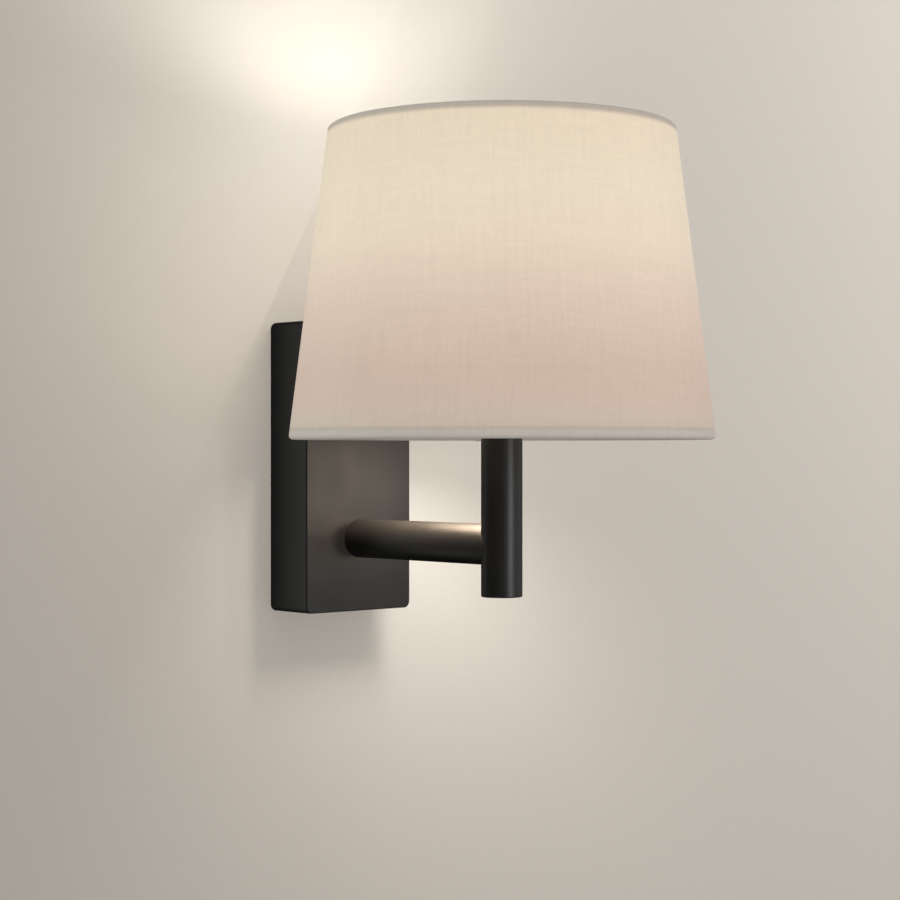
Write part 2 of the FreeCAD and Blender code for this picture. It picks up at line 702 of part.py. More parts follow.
def make_post():
    """The post: a tube with a wire hole, a flat cap at its foot and a threaded plug at its head."""
    post_length = "(post_foot + post_rise - cap_thickness)"
    body = tube("post_tube", TUBE_BORE, "post_radius", "cap_thickness", post_length, y=POST_Y, z=POST_BOTTOM)
    hole = new_sketch(body, "wire_hole", "XZ_Plane")
    circle(hole, "0", "post_foot", "wire_hole_radius")
    cut(body, hole, "wire_hole_cut")

    turned("post_end_cap", [
        ("0", "0"), ("post_radius - cap_chamfer", "0"), ("post_radius", "cap_chamfer"),
        ("post_radius", "cap_thickness"), (f"{TUBE_BORE} - push_gap", "cap_thickness"),
        (f"{TUBE_BORE} - push_gap", "plug_length / 2"), ("0", "plug_length / 2"),
    ], y=POST_Y, z=POST_BOTTOM)

    bore = "nipple_radius + thread_gap"
    turned("post_top_plug", [
        (bore, "0 - cap_thickness - plug_length"), (f"{TUBE_BORE} - push_gap", "0 - cap_thickness - plug_length"),
        (f"{TUBE_BORE} - push_gap", "0 - cap_thickness"), ("post_radius", "0 - cap_thickness"),
        ("post_radius", "0 - cap_chamfer"), ("post_radius - cap_chamfer", "0"), (bore, "0"),
    ], y=POST_Y, z=POST_TOP)


# Lampholder, with heights measured from the post's head.

ON_POST = {"y": POST_Y, "z": POST_TOP}


def make_lampholder_nipple():
    """The hollow screw that joins the post to the lampholder."""
    tube("lampholder_nipple", "nipple_bore", "nipple_radius", "0 - plug_length", "2 * cup_wall", **ON_POST)


def make_lampholder_cap():
    """The lower cup: a threaded neck, a domed wall and a spigot for the skirt."""
    bore = "nipple_radius + thread_gap"
    spigot = f"({HOLDER_BORE} - push_gap)"
    inside = f"({spigot} - cup_wall)"
    turned("lampholder_cap", [
        (bore, "0"), ("cup_neck", "0"), ("cup_neck", "cup_wall / 2", "cup_dome"),
        ("cup_radius", "cup_height - cup_wall"), ("cup_radius", "cup_height"), (spigot, "cup_height"),
        (spigot, "cup_height + spigot_height"), (inside, "cup_height + spigot_height"),
        (inside, "cup_height - cup_wall"), ("cup_neck", "2 * cup_wall"),
        (bore, "2 * cup_wall"),
    ], **ON_POST)


def make_lampholder_skirt():
    """The outer shell, with the long thread for the shade rings below its smooth mouth."""
    mouth = "(holder_radius - holder_step)"
    turned("lampholder_skirt", [
        (HOLDER_BORE, "cup_height + rest_gap"), ("holder_radius", "cup_height + rest_gap"),
        ("holder_radius", "holder_thread_top"), (mouth, "holder_thread_top + holder_step"),
        (mouth, "holder_height - holder_step"), (f"{mouth} - holder_step", "holder_height"),
        (HOLDER_BORE, "holder_height"),
    ], **ON_POST)


def make_lampholder_insert():
    """The insulating core: a base with two wire terminals and a wall round the screw shell."""
    rim = f"({HOLDER_BORE} - 2 * push_gap - cup_wall - cover_gap)"
    inside = "(shell_radius + cover_gap)"
    body = turned("lampholder_insert", [
        ("0", "insert_base"), (rim, "insert_base"), (rim, "insert_floor"),
        (f"{inside} + insert_wall", "insert_floor + 2 * insert_wall"),
        (f"{inside} + insert_wall", "insert_height"), (inside, "insert_height"),
        (inside, "insert_floor"), ("0", "insert_floor"),
    ], **ON_POST)
    terminals = new_sketch(body, "terminals", "XY_Plane", z="insert_base")
    for sign in ("", "0 - "):
        circle(terminals, f"{sign}terminal_spread", "0", "wire_radius + hole_gap")
    cut(body, terminals, "terminal_cut", "(insert_floor - insert_base) * 0.7", backwards=True)


def make_lampholder_contacts():
    """The brass screw shell and the sprung strip under the lamp's tip."""
    bottom = "insert_floor + cover_gap"
    turned("lampholder_screw_shell", [
        ("shell_radius * 0.65", bottom), ("shell_radius", bottom), ("shell_radius", f"{bottom} + shell_height"),
        ("shell_radius - shell_wall", f"{bottom} + shell_height"),
        ("shell_radius - shell_wall", f"{bottom} + shell_wall"), ("shell_radius * 0.65", f"{bottom} + shell_wall"),
    ], **ON_POST)

    body = new_body("lampholder_centre_contact", **ON_POST)
    strip = new_sketch(body, "strip", "XZ_Plane")
    foot, top = "insert_floor + cover_gap", "insert_floor + contact_rise"
    outline(strip, [
        ("0 - contact_width", foot), ("contact_width", foot), ("contact_width", f"{foot} + contact_strip"),
        ("0 - contact_width / 2", f"{foot} + contact_strip"), ("0 - contact_width / 2", f"{top} - contact_strip"),
        ("contact_width / 2", f"{top} - contact_strip"), ("contact_width / 2", top),
        ("0 - contact_width / 2 - contact_strip", top),
        ("0 - contact_width / 2 - contact_strip", f"{foot} + contact_strip"),
        ("0 - contact_width", f"{foot} + contact_strip"),
    ])
    pad(body, strip, "strip_pad", "contact_width", side="Symmetric")


def shade_ring(label, **where):
    """A shade ring: a flange that meets the fitter, a threaded neck and grip notches in its rim."""
    body = turned(label, [
        (RING_BORE, "0"), ("ring_radius", "0"), ("ring_radius", "ring_flange"), ("ring_neck", "ring_flange"),
        ("ring_neck", "ring_flange + ring_neck_height"), (RING_BORE, "ring_flange + ring_neck_height"),
    ], **where)
    notch = new_sketch(body, "notch", "XY_Plane")
    circle(notch, "ring_radius + grip_radius / 2", "0", "grip_radius")
    notch_cut = cut(body, notch, "notch_cut", "ring_flange", backwards=True)
    around(body, "grip", "grip_count", [notch_cut])


def make_shade_rings():
    """The ring under the fitter, neck down, and the clamp ring over it, neck up."""
    shade_ring("lower_shade_ring", y=POST_Y, z=SEAT, turn=UPSIDE_DOWN)
    shade_ring("shade_clamp_ring", y=POST_Y, z=f"{FITTER} + fitter_thickness + rest_gap")


# Shade, with heights measured from its bottom edge.

ON_SHADE = {"y": POST_Y, "z": SHADE_BOTTOM}


def make_shade_fabric():
    """The fabric cone. At each end it is rolled round the frame wire and ends in a short lip inside."""
    wrap = f"({HEM} - fabric_thickness)"
    low, high = f"(shade_bottom_radius - {HEM})", f"(shade_top_radius - {HEM})"
    top, lip = f"(shade_height - {HEM})", "hem_lip"
    turned("shade_fabric", [
        (f"{low} + {HEM}", HEM), (f"{high} + {HEM}", top), *flats(high, top, HEM, 0, 4),
        (f"{high} - {HEM}", f"shade_height - {lip}"), (f"{high} - {wrap}", f"shade_height - {lip}"),
        *flats(high, top, wrap, 180, 4, -1), (f"{high} + {wrap}", top),
        (f"{low} + {wrap}", HEM), *flats(low, HEM, wrap, 0, 4, -1),
        (f"{low} - {wrap}", lip), (f"{low} - {HEM}", lip), *flats(low, HEM, HEM, 180, 4),
    ], **ON_SHADE)


def make_shade_liner():
    """The stiff liner behind the fabric, between the two frame wires."""
    outside = f"(fabric_thickness + push_gap + {LEAN} * 2 * {HEM})"
    low, high = f"(shade_bottom_radius - {outside})", f"(shade_top_radius - fabric_thickness - push_gap)"
    turned("shade_liner", [
        (f"{low} - liner_thickness", f"2 * {HEM}"), (low, f"2 * {HEM}"), (high, f"shade_height - 2 * {HEM}"),
        (f"{high} - liner_thickness", f"shade_height - 2 * {HEM}"),
    ], **ON_SHADE)


def make_shade_frame():
    """The two frame wires, the fitter ring and the three cranked spokes that rest on the lower wire."""
    for label, radius, height in (("shade_bottom_wire", "shade_bottom_radius", HEM),
                                  ("shade_top_wire", "shade_top_radius", f"(shade_height - {HEM})")):
        turned(label, flats(f"({radius} - {HEM})", height, "frame_wire", 0, 8), **ON_SHADE)

    tube("fitter_ring", "fitter_bore", FITTER_EDGE, "0", "fitter_thickness", y=POST_Y, z=FITTER)

    body = new_body("fitter_spokes", turn=FreeCAD.Rotation(V(0, 0, 1), 90), **ON_SHADE)
    inner, outer = f"({FITTER_EDGE} + weld_gap)", f"(shade_bottom_radius - {HEM})"
    high, low = "(fitter_recess + fitter_thickness / 2)", f"({HEM} + frame_wire + weld_gap + spoke_radius)"
    path = new_sketch(body, "path", "XZ_Plane")
    outline(path, [
        (inner, high), (f"{inner} + spoke_straight", high), (f"{outer} - spoke_straight", low), (outer, low),
    ], closed=False)
    ring = new_sketch(body, "section", "YZ_Plane", z=inner)
    outline(ring, flats("0", high, "spoke_radius", 0, 8))
    feature(body, "AdditivePipe", "pipe", Profile=ring, Spine=path, Transition="Round corner")
    around(body, "set", "3")


# Lamp, with heights measured from its tip.

ON_CONTACT = {"y": POST_Y, "z": f"{POST_TOP} + insert_floor + contact_rise + rest_gap"}


def make_lamp():
    """An LED lamp: centre contact, insulator, threaded cap, flared housing and round diffuser."""
    turned("bulb_contact", [
        ("0", "0"), ("contact_pad_radius / 2", "0"), ("contact_pad_radius", "contact_pad_height / 2"),
        ("contact_pad_radius", "contact_pad_height"), ("0", "contact_pad_height"),
    ], **ON_CONTACT)
    turned("bulb_insulator", [
        ("0", "contact_pad_height"), ("contact_pad_radius + rest_gap", "contact_pad_height"),
        ("lamp_cap_bore - rest_gap", "lamp_cap_foot - contact_pad_height"),
        ("lamp_cap_bore - rest_gap", "lamp_cap_foot + contact_pad_height"),
        ("0", "lamp_cap_foot + contact_pad_height"),
    ], **ON_CONTACT)

    ridges = []
    for turn in range(int(number("lamp_turns"))):
        start = f"lamp_cap_foot + {turn + 0.5} * lamp_thread_pitch"
        ridges += [
            ("lamp_cap_root", f"{start} - lamp_thread_pitch / 2"), ("lamp_cap_crest", start),
        ]
    turned("bulb_cap", [
        ("lamp_cap_bore", "lamp_cap_foot - contact_pad_height"),
        ("lamp_cap_root - cap_chamfer", "lamp_cap_foot - contact_pad_height"), *ridges,
        ("lamp_cap_root", "lamp_cap_foot + lamp_turns * lamp_thread_pitch"), ("lamp_neck - cap_chamfer", "lamp_cap_top"),
        ("lamp_cap_bore", "lamp_cap_top"),
    ], **ON_CONTACT)

    middle = "(lamp_length - lamp_radius)"
    rim = f"sqrt(lamp_radius ^ 2 - ({middle} - lamp_split) ^ 2)"
    inner = "(lamp_radius - lamp_wall)"
    inner_rim = f"sqrt({inner} ^ 2 - ({middle} - lamp_split) ^ 2)"
    turned("bulb_housing", [
        ("0", "lamp_cap_top - lamp_thread_pitch"), ("lamp_cap_bore - push_gap", "lamp_cap_top - lamp_thread_pitch"),
        ("lamp_cap_bore - push_gap", "lamp_cap_top"), ("lamp_neck", "lamp_cap_top"),
        ("lamp_neck", "lamp_cap_top + lamp_thread_pitch", "0 - 3 * lamp_radius"), (rim, "lamp_split"),
        (inner_rim, "lamp_split", "3 * lamp_radius"),
        ("lamp_neck - lamp_wall", "lamp_cap_top + lamp_thread_pitch"), ("0", "lamp_cap_top + lamp_thread_pitch"),
    ], **ON_CONTACT)
    turned("bulb_globe", [
        (rim, "lamp_split + rest_gap", "lamp_radius"), ("lamp_radius", middle, "lamp_radius"), ("0", "lamp_length"),
        ("0", "lamp_length - lamp_wall", f"0 - {inner}"), (inner, middle, f"0 - {inner}"),
        (inner_rim, "lamp_split + rest_gap"),
    ], **ON_CONTACT)


# Wires inside.

def wire(label, route):
    """An insulated wire along straight runs and tangent arcs. The route's points are formulas."""
    points = [V(*(number(formula) for formula in point)) for point in route]
    largest = number("wire_bend")
    runs, start, radii = [], points[0], []
    for before, corner, after in zip(points, points[1:], points[2:]):
        back, ahead = before - corner, after - corner
        shorter = min(back.Length, ahead.Length)
        back.normalize()
        ahead.normalize()
        half_turn = (math.pi - back.getAngle(ahead)) / 2
        radius = min(0.45 * shorter / math.tan(half_turn), largest)
        radii.append(round(radius, 1))
        reach = radius * math.tan(half_turn)
        enter, leave = corner + back * reach, corner + ahead * reach
        inward = (back + ahead).normalize()
        crown = corner + inward * (radius / math.cos(half_turn) - radius)
        runs += [Part.LineSegment(start, enter).toShape(), Part.Arc(enter, crown, leave).toShape()]
        start = leave
    runs.append(Part.LineSegment(start, points[-1]).toShape())
    path = Part.Wire(runs)
    thickness = number("wire_radius")
    along = (points[1] - points[0]).normalize()
    side = along.cross(V(1, 0, 0)).normalize() * thickness
    spins = [FreeCAD.Rotation(along, 45 * step) for step in range(9)]
    ring = Part.makePolygon([points[0] + spin.multVec(side) for spin in spins])
    item = doc.addObject("Part::Feature", label)
    item.Label = label
    item.Shape = path.makePipeShell([ring], True, False)
    item.Placement = FreeCAD.Placement()
    expected = 8 * math.sin(math.radians(45)) / 2 * thickness ** 2 * path.Length
    if abs(item.Shape.Volume / expected - 1) > 0.01:
        raise ValueError(f"{label} has the wrong volume")
    print(label, "length", round(path.Length, 1), "radii", radii)
    pieces.append(item)


def make_wires():
    """Live and neutral from the outer poles through arm and post, and earth to the eyelet."""
    depth = "0 - bracket_wall - barrel_depth"
    back = "0 - bracket_wall - barrel_depth * 0.75"
    for label, side in (("wire_live", -1), ("wire_neutral", 1)):
        beside, apart = f"{side} * wire_spread", f"{side} * terminal_spread"
        pole = f"{side} * pole_pitch"
        wire(label, [
            (pole, depth, "block_rise - clamp_spread / 2"),
            (pole, depth, "block_rise - pole_length"),
            (f"{side} * (wire_spread + pole_pitch) / 3", back, f"{ARM_Z} + arm_radius * 1.3"),
            (beside, back, ARM_Z),
            (beside, POST_Y, ARM_Z),
            (beside, POST_Y, f"{POST_TOP} + cup_wall * 2"),
            (apart, POST_Y, f"{POST_TOP} + insert_base - cup_wall"),
            (apart, POST_Y, f"{POST_TOP} + insert_base + wire_bend / 2"),
        ])
    crimp = f"0 - {WASHER_FACE} + crimp_radius"
    wire("wire_earth", [
        ("0", depth, "block_rise - clamp_spread / 2"),
        ("0", depth, "block_rise - pole_length"),
        ("0", crimp, f"{ARM_Z} + eyelet_tail * 1.35"),
        ("0", crimp, f"{ARM_Z} + eyelet_tail * 0.75"),
    ])


make_wall_bracket()
make_bracket_nuts()
make_cable_grommet()
make_canopy()
make_canopy_screws()
make_earth_screw()
make_terminal_block()
make_terminal_block_screws()
make_terminal_barrels()
make_terminal_screws()
make_arm_tube()
make_arm_end_plug()
make_arm_fixing()
make_arm_earth_eyelet()
make_post()
make_lampholder_nipple()
make_lampholder_cap()
make_lampholder_skirt()
make_lampholder_insert()
make_lampholder_contacts()
make_shade_rings()
make_shade_fabric()
make_shade_liner()
make_shade_frame()
make_lamp()
make_wires()
doc.recompute()

for item in doc.Objects:
    if "Invalid" in item.State or "Error" in item.State:
        raise ValueError(f"{item.Label}: {item.State}")

os.makedirs("parts", exist_ok=True)
for piece in pieces:
    shape = piece.Shape
    if shape.isNull() or not shape.isValid() or not shape.Solids:
        raise ValueError(f"{piece.Label} has no valid solid")
    shape.exportStep(f"parts/{piece.Label}.step")
print(len(pieces), "sub-parts")
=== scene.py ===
import json
import math
import bpy
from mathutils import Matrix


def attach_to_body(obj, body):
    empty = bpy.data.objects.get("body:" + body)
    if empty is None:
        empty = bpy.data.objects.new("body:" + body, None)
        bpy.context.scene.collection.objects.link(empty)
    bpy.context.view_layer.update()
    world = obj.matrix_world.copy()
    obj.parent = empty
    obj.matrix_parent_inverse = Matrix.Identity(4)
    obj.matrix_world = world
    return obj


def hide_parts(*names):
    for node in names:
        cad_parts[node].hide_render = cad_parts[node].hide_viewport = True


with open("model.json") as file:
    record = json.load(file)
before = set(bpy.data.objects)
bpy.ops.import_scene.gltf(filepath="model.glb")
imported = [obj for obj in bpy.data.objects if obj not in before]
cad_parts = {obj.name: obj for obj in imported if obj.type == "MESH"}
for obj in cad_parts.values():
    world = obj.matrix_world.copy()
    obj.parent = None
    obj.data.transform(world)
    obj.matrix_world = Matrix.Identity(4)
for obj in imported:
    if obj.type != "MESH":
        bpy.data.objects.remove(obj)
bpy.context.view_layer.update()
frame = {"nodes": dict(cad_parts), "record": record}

# Camera: a long lens level with the light, about a metre away and to its left, so that the side of the
# backplate shows.
lens = bpy.data.cameras.new("camera")
lens.sensor_width = 36
lens.lens = 82.24
lens.shift_y = 0.00075
camera = bpy.data.objects.new("camera", lens)
camera.location = (-0.6880, -0.8529, 0.00837)
camera.rotation_euler = (math.radians(90), 0, math.radians(-42.42))
bpy.context.scene.collection.objects.link(camera)
bpy.context.scene.camera = camera
bpy.context.scene.view_settings.view_transform = "Standard"


# Room: a plain painted wall that shows from the front only, a pale floor far below, soft lamps
# before the wall and at its right, a narrow one for the gloss of dark metal and even light all round.
MM = 0.001
DAYLIGHT = (1.0, 0.99, 0.975)
WALL_COLOUR, FLOOR_COLOUR = (0.60, 0.562, 0.512), (0.66, 0.625, 0.575)
FLOOR_GLOW = 0.55
WALL_PLACE, FLOOR_PLACE = (0, 0.4 * MM, 0), (0, 0, -1.2)


def add(tree, kind, *values, **settings):
    """A shader node. Capital names and plain values are its sockets, small names its settings."""
    made = tree.nodes.new("ShaderNode" + kind)
    named = sorted(settings.items(), key=lambda item: item[0][0].isupper())
    for key, value in [*named, *enumerate(values)]:
        if isinstance(key, str) and key[0].islower():
            setattr(made, key, value)
            continue
        socket = made.inputs[key.replace("_", " ") if isinstance(key, str) else key]
        if isinstance(value, bpy.types.Node):
            tree.links.new(value.outputs[0], socket)
        elif isinstance(value, bpy.types.NodeSocket):
            tree.links.new(value, socket)
        else:
            socket.default_value = value
    return made


def ramp(tree, factor, *stops):
    """Colours along a factor, given as (place, colour)."""
    made = add(tree, "ValToRGB", factor)
    while len(made.color_ramp.elements) < len(stops):
        made.color_ramp.elements.new(0.5)
    for element, (place, colour) in zip(made.color_ramp.elements, stops):
        element.position = place
        element.color = (*colour, 1)
    return made


def math_node(tree, operation, *values):
    """One step of arithmetic."""
    return add(tree, "Math", *values, operation=operation)


def place_on_object(tree):
    """Where a point lies on the object, as X, Y and Z."""
    return add(tree, "SeparateXYZ", add(tree, "TexCoord").outputs["Object"])


def new_material(name):
    """An empty material: its node tree and its output node."""
    material = bpy.data.materials.new(name)
    material.use_nodes = True
    material.node_tree.nodes.clear()
    material.cycles.emission_sampling = "NONE"
    return material, material.node_tree, material.node_tree.nodes.new("ShaderNodeOutputMaterial")


def finish_shape(name, material):
    """Names the active object, puts its place into its mesh and gives it its material."""
    made = bpy.context.object
    made.name = made.data.name = name
    bpy.ops.object.transform_apply(location=True, rotation=True, scale=True)
    made.data.materials.clear()
    made.data.materials.append(material)
    return made


def matt_paint(name, colour):
    """Matt paint with a faint speckle: an unfinished material and its shader."""
    material, tree, output = new_material(name)
    speckle = add(tree, "TexNoise", add(tree, "TexCoord").outputs["Object"], Scale=260, Detail=4)
    paint = add(tree, "BsdfPrincipled", Base_Color=ramp(
        tree, speckle, (0.3, [0.985 * part for part in colour]), (0.7, colour)), Roughness=0.9)
    paint.inputs["Specular IOR Level"].default_value = 0.1
    return material, tree, output, paint


# The wall's paint shows to the camera from the front only and lets bounced light through. Gloss rays from
# the front see a painted reflection in place of the lit paint: an emitted band across the wall, dim at the
# left, with one pale stripe, and black at the right. They see nothing where the backplate covers it.
COVERED_HEIGHT, HEIGHT_TO_WIDTH = 0.0745, 2.2
PAINTED_REFLECTION_START, PAINTED_REFLECTION_END = -0.16, -0.03
wall_paint, tree, output, paint = matt_paint("wall_paint", WALL_COLOUR)
path = add(tree, "LightPath")
front = math_node(tree, "SUBTRACT", 1.0, add(tree, "NewGeometry").outputs["Backfacing"])
seen = math_node(tree, "MULTIPLY", path.outputs["Is Camera Ray"], front)
spot = place_on_object(tree)
beside = math_node(tree, "MULTIPLY", math_node(tree, "ABSOLUTE", spot.outputs["X"]), HEIGHT_TO_WIDTH)
reach = math_node(tree, "MAXIMUM", beside, math_node(tree, "ABSOLUTE", spot.outputs["Z"]))
uncovered = math_node(tree, "MULTIPLY", front, math_node(tree, "GREATER_THAN", reach, COVERED_HEIGHT))
mirrored = math_node(tree, "MULTIPLY", path.outputs["Is Glossy Ray"], uncovered)
# Painted reflection: the emitted band that metal mirrors from the wall, running across X.
painted_reflection_band = ramp(tree, add(tree, "MapRange", spot, PAINTED_REFLECTION_START, PAINTED_REFLECTION_END),
            (0.0, (0.05, 0.05, 0.05)), (0.46, (0.10, 0.10, 0.095)), (0.73, (0.66, 0.64, 0.61)),
            (0.88, (0.22, 0.215, 0.205)), (0.985, (0.0, 0.0, 0.0)))
clear = add(tree, "MixShader", mirrored, add(tree, "BsdfTransparent"), add(tree, "Emission", painted_reflection_band, 1.0))
tree.links.new(add(tree, "MixShader", seen, clear, paint).outputs[0], output.inputs[0])

# The floor's paint looks evenly pale to the camera.
floor_paint, tree, output, paint = matt_paint("floor_paint", FLOOR_COLOUR)
glow = math_node(tree, "MULTIPLY", add(tree, "LightPath").outputs["Is Camera Ray"], FLOOR_GLOW)
paint.inputs["Emission Color"].default_value = (*FLOOR_COLOUR, 1)
tree.links.new(glow.outputs[0], paint.inputs["Emission Strength"])
tree.links.new(paint.outputs[0], output.inputs[0])

bpy.ops.object.select_all(action="DESELECT")
bpy.ops.mesh.primitive_plane_add(size=1, location=WALL_PLACE, rotation=(math.radians(90), 0, 0))
bpy.context.object.scale = (4.0, 2.4, 1)
room_wall = finish_shape("room_wall", wall_paint)
bpy.ops.mesh.primitive_plane_add(size=6, location=FLOOR_PLACE)
room_floor = finish_shape("room_floor", floor_paint)
room_wall.visible_shadow = False
room_floor.visible_glossy = False


def soft_lamp(name, place, target, size, power, colour, shape="RECTANGLE"):
    """A flat lamp that faces a point."""
    light = bpy.data.lights.new(name, "AREA")
    light.shape = shape
    light.size, light.size_y = size
    light.energy = power
    light.color = colour
    lamp = bpy.data.objects.new(name, light)
    lamp.location = place
    way = [to - at for to, at in zip(target, place)]
    tilt = math.atan2(math.hypot(*way[:2]), -way[2])
    lamp.rotation_euler = (tilt, 0, math.atan2(way[1], way[0]) - math.pi / 2)
    lamp.visible_camera = False
    bpy.context.scene.collection.objects.link(lamp)
    return lamp


def light_only(lamp, *pieces, leave_out=False):
    """Limits a lamp to some pieces, or keeps it off them."""
    lit = bpy.data.collections.new(lamp.name + "_lights")
    for piece in pieces:
        lit.objects.link(piece)
    if leave_out:
        for entry in lit.collection_objects:
            entry.light_linking.link_state = "EXCLUDE"
    lamp.light_linking.receiver_collection = lit


front_lamp = soft_lamp("front_lamp", (-0.15, -1.7, 0.5), (0, -0.1, 0), (2.2, 1.6), 9, DAYLIGHT)
front_lamp.visible_glossy = False
light_only(front_lamp, room_wall, leave_out=True)
gloss_lamp = soft_lamp("gloss_lamp", (0.22, -1.9, 0.05), (0, -0.1, -0.02), (0.45, 1.3), 11, (0.97, 0.98, 1.0))
light_only(gloss_lamp, room_wall, leave_out=True)
wall_lamp = soft_lamp("wall_lamp", (1.25, -1.1, 0.75), (0.3, 0, 0), (0.8, 0.8), 24, DAYLIGHT)
wall_lamp.data.use_shadow = False
wall_lamp.visible_glossy = False
light_only(wall_lamp, room_wall)


def blended(tree, factor, first, second):
    """A colour that goes from one to another. Each is a node's output or a plain colour."""
    made = add(tree, "Mix", factor, data_type="RGBA")
    colour_sockets = made.inputs[6:8]
    for socket, colour in zip(colour_sockets, (first, second)):
        if isinstance(colour, tuple):
            socket.default_value = (*colour, 1)
        else:
            tree.links.new(colour, socket)
    return made.outputs[2]


# Light from all round is a little stronger at the right. Gloss sees a dark room at the left, a pale one
# at the right and behind the wall, and hardly anything below. The camera sees the wall's colour.
world = bpy.data.worlds.new("room_light")
bpy.context.scene.world = world
world.use_nodes = True
world.node_tree.nodes.clear()
tree = world.node_tree
path = add(tree, "LightPath")
side = add(tree, "SeparateXYZ", add(tree, "TexCoord").outputs["Generated"])
across = math_node(tree, "MULTIPLY_ADD", side, 0.5, 0.5)
even_light = ramp(tree, across, (0.0, (0.255, 0.25, 0.245)), (1.0, (0.41, 0.40, 0.39)))
reflected = ramp(tree, across, (0.0, (0.03, 0.03, 0.03)), (0.5, (0.10, 0.10, 0.10)),
                 (0.8, (0.50, 0.49, 0.48)), (1.0, (0.55, 0.54, 0.52)))
upward = add(tree, "MapRange", side.outputs["Z"], -0.5, 0.05, 0.05, 1.0)
rearward = add(tree, "MapRange", side.outputs["Y"], 0.0, 0.35, 0.0, 0.75)
level = math_node(tree, "MAXIMUM", upward, rearward)
bright = blended(tree, rearward, reflected.outputs[0], (0.85, 0.85, 0.84))
mirrored = add(tree, "VectorMath", bright, operation="SCALE", Scale=level)
backdrop = blended(tree, path.outputs["Is Glossy Ray"], even_light.outputs[0], mirrored.outputs[0])
room_colour = blended(tree, path.outputs["Is Camera Ray"], backdrop, (0.60, 0.565, 0.52))
sky = add(tree, "Background", room_colour, 1.0)
tree.links.new(sky.outputs[0], tree.nodes.new("ShaderNodeOutputWorld").inputs[0])


# Powder coat of the visible metalwork: matt black with a fine grain, and with small, cloudy changes in
# its tone and gloss. The arm and the post carry it on their own shapes.
CLOUD_LOW, CLOUD_HIGH = 0.3, 0.7


def new_group(name, inputs, outputs):
    """An empty shader group with float inputs and outputs."""
    group = bpy.data.node_groups.new(name, "ShaderNodeTree")
    for label, value in inputs.items():
        group.interface.new_socket(label, in_out="INPUT", socket_type="NodeSocketFloat").default_value = value
    for label in outputs:
        group.interface.new_socket(label, in_out="OUTPUT", socket_type="NodeSocketFloat")
    return group, group.nodes.new("NodeGroupInput"), group.nodes.new("NodeGroupOutput")


grain, grain_in, grain_out = new_group("fine_grain", {"Scale": 1000.0, "Cloud Scale": 40.0},
                                       ["Height", "Tone"])
grain_place = add(grain, "TexCoord").outputs["Object"]
grain_fine = add(grain, "TexNoise", grain_place, Scale=grain_in.outputs["Scale"], Detail=3.0, Roughness=0.6)
grain_cloud = add(grain, "TexNoise", grain_place, Scale=grain_in.outputs["Cloud Scale"], Detail=4.0,
                  Roughness=0.55)
grain.links.new(grain_fine.outputs[0], grain_out.inputs["Height"])
grain.links.new(grain_cloud.outputs[0], grain_out.inputs["Tone"])


def in_group(tree, group, **values):
    """The group placed in a material, with this finish's own values."""
    made = tree.nodes.new("ShaderNodeGroup")
    made.node_tree = group
    for label, value in values.items():
        made.inputs[label.replace("_", " ")].default_value = value
    return made


def cloudy_gloss(tree, texture, roughness):
    """Roughness between two values that follows the clouds of a texture."""
    return add(tree, "MapRange", texture.outputs["Tone"], CLOUD_LOW, CLOUD_HIGH, *roughness).outputs[0]


def cloudy_colour(tree, texture, dark, light):
    """A colour between two that follows the clouds of a texture."""
    return ramp(tree, texture.outputs["Tone"], (CLOUD_LOW, dark), (CLOUD_HIGH, light))


def grain_relief(tree, texture, depth):
    """The fine grain of a texture in relief, with its depth in mm."""
    return add(tree, "Bump", Strength=1.0, Distance=depth * MM, Height=texture.outputs["Height"])


def plain_finish(name, dark, light, roughness, scale, depth, cloud=40.0, **constants):
    """A finish whose colour and gloss change softly over the piece, with a fine grain in relief."""
    material, tree, output = new_material(name)
    texture = in_group(tree, grain, Scale=scale, Cloud_Scale=cloud)
    shader = add(tree, "BsdfPrincipled", Base_Color=cloudy_colour(tree, texture, dark, light),
                 Roughness=cloudy_gloss(tree, texture, roughness), Normal=grain_relief(tree, texture, depth))
    for label, value in constants.items():
        shader.inputs[label].default_value = value
    tree.links.new(shader.outputs[0], output.inputs[0])
    return material


powder_coat = plain_finish("black_powder_coat", (0.0115, 0.0115, 0.0113), (0.0140, 0.0138, 0.0135),
                           roughness=(0.36, 0.42), scale=1500, depth=0.03)


def repaint(material, *nodes):
    """Gives CAD nodes their finish."""
    for node in nodes:
        for holder in frame["nodes"][node].material_slots:
            holder.material = material


repaint(powder_coat, "arm_tube", "post_tube")


# Backplate: a die-cast shell, tumbled so that its outer edges are slightly soft, then powder coated.
# The screws in its top and bottom and the cap at the post's foot are coated alike.
TOUCHING = 1e-6    # corners nearer than this, in metres, are one
LEVEL = 0.4    # faces within this many degrees of each other are one
body_of = {node: body for body, nodes in frame["record"]["behaviour"]["bodies"].items() for node in nodes}


def attach(piece, node):
    """Gives a new piece its body and hides the CAD node that it stands for."""
    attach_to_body(piece, body_of[node])
    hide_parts(node)


def pick(*pieces):
    """Selects these pieces alone and makes the last one active."""
    bpy.ops.object.select_all(action="DESELECT")
    for piece in pieces:
        piece.select_set(True)
    bpy.context.view_layer.objects.active = pieces[-1]


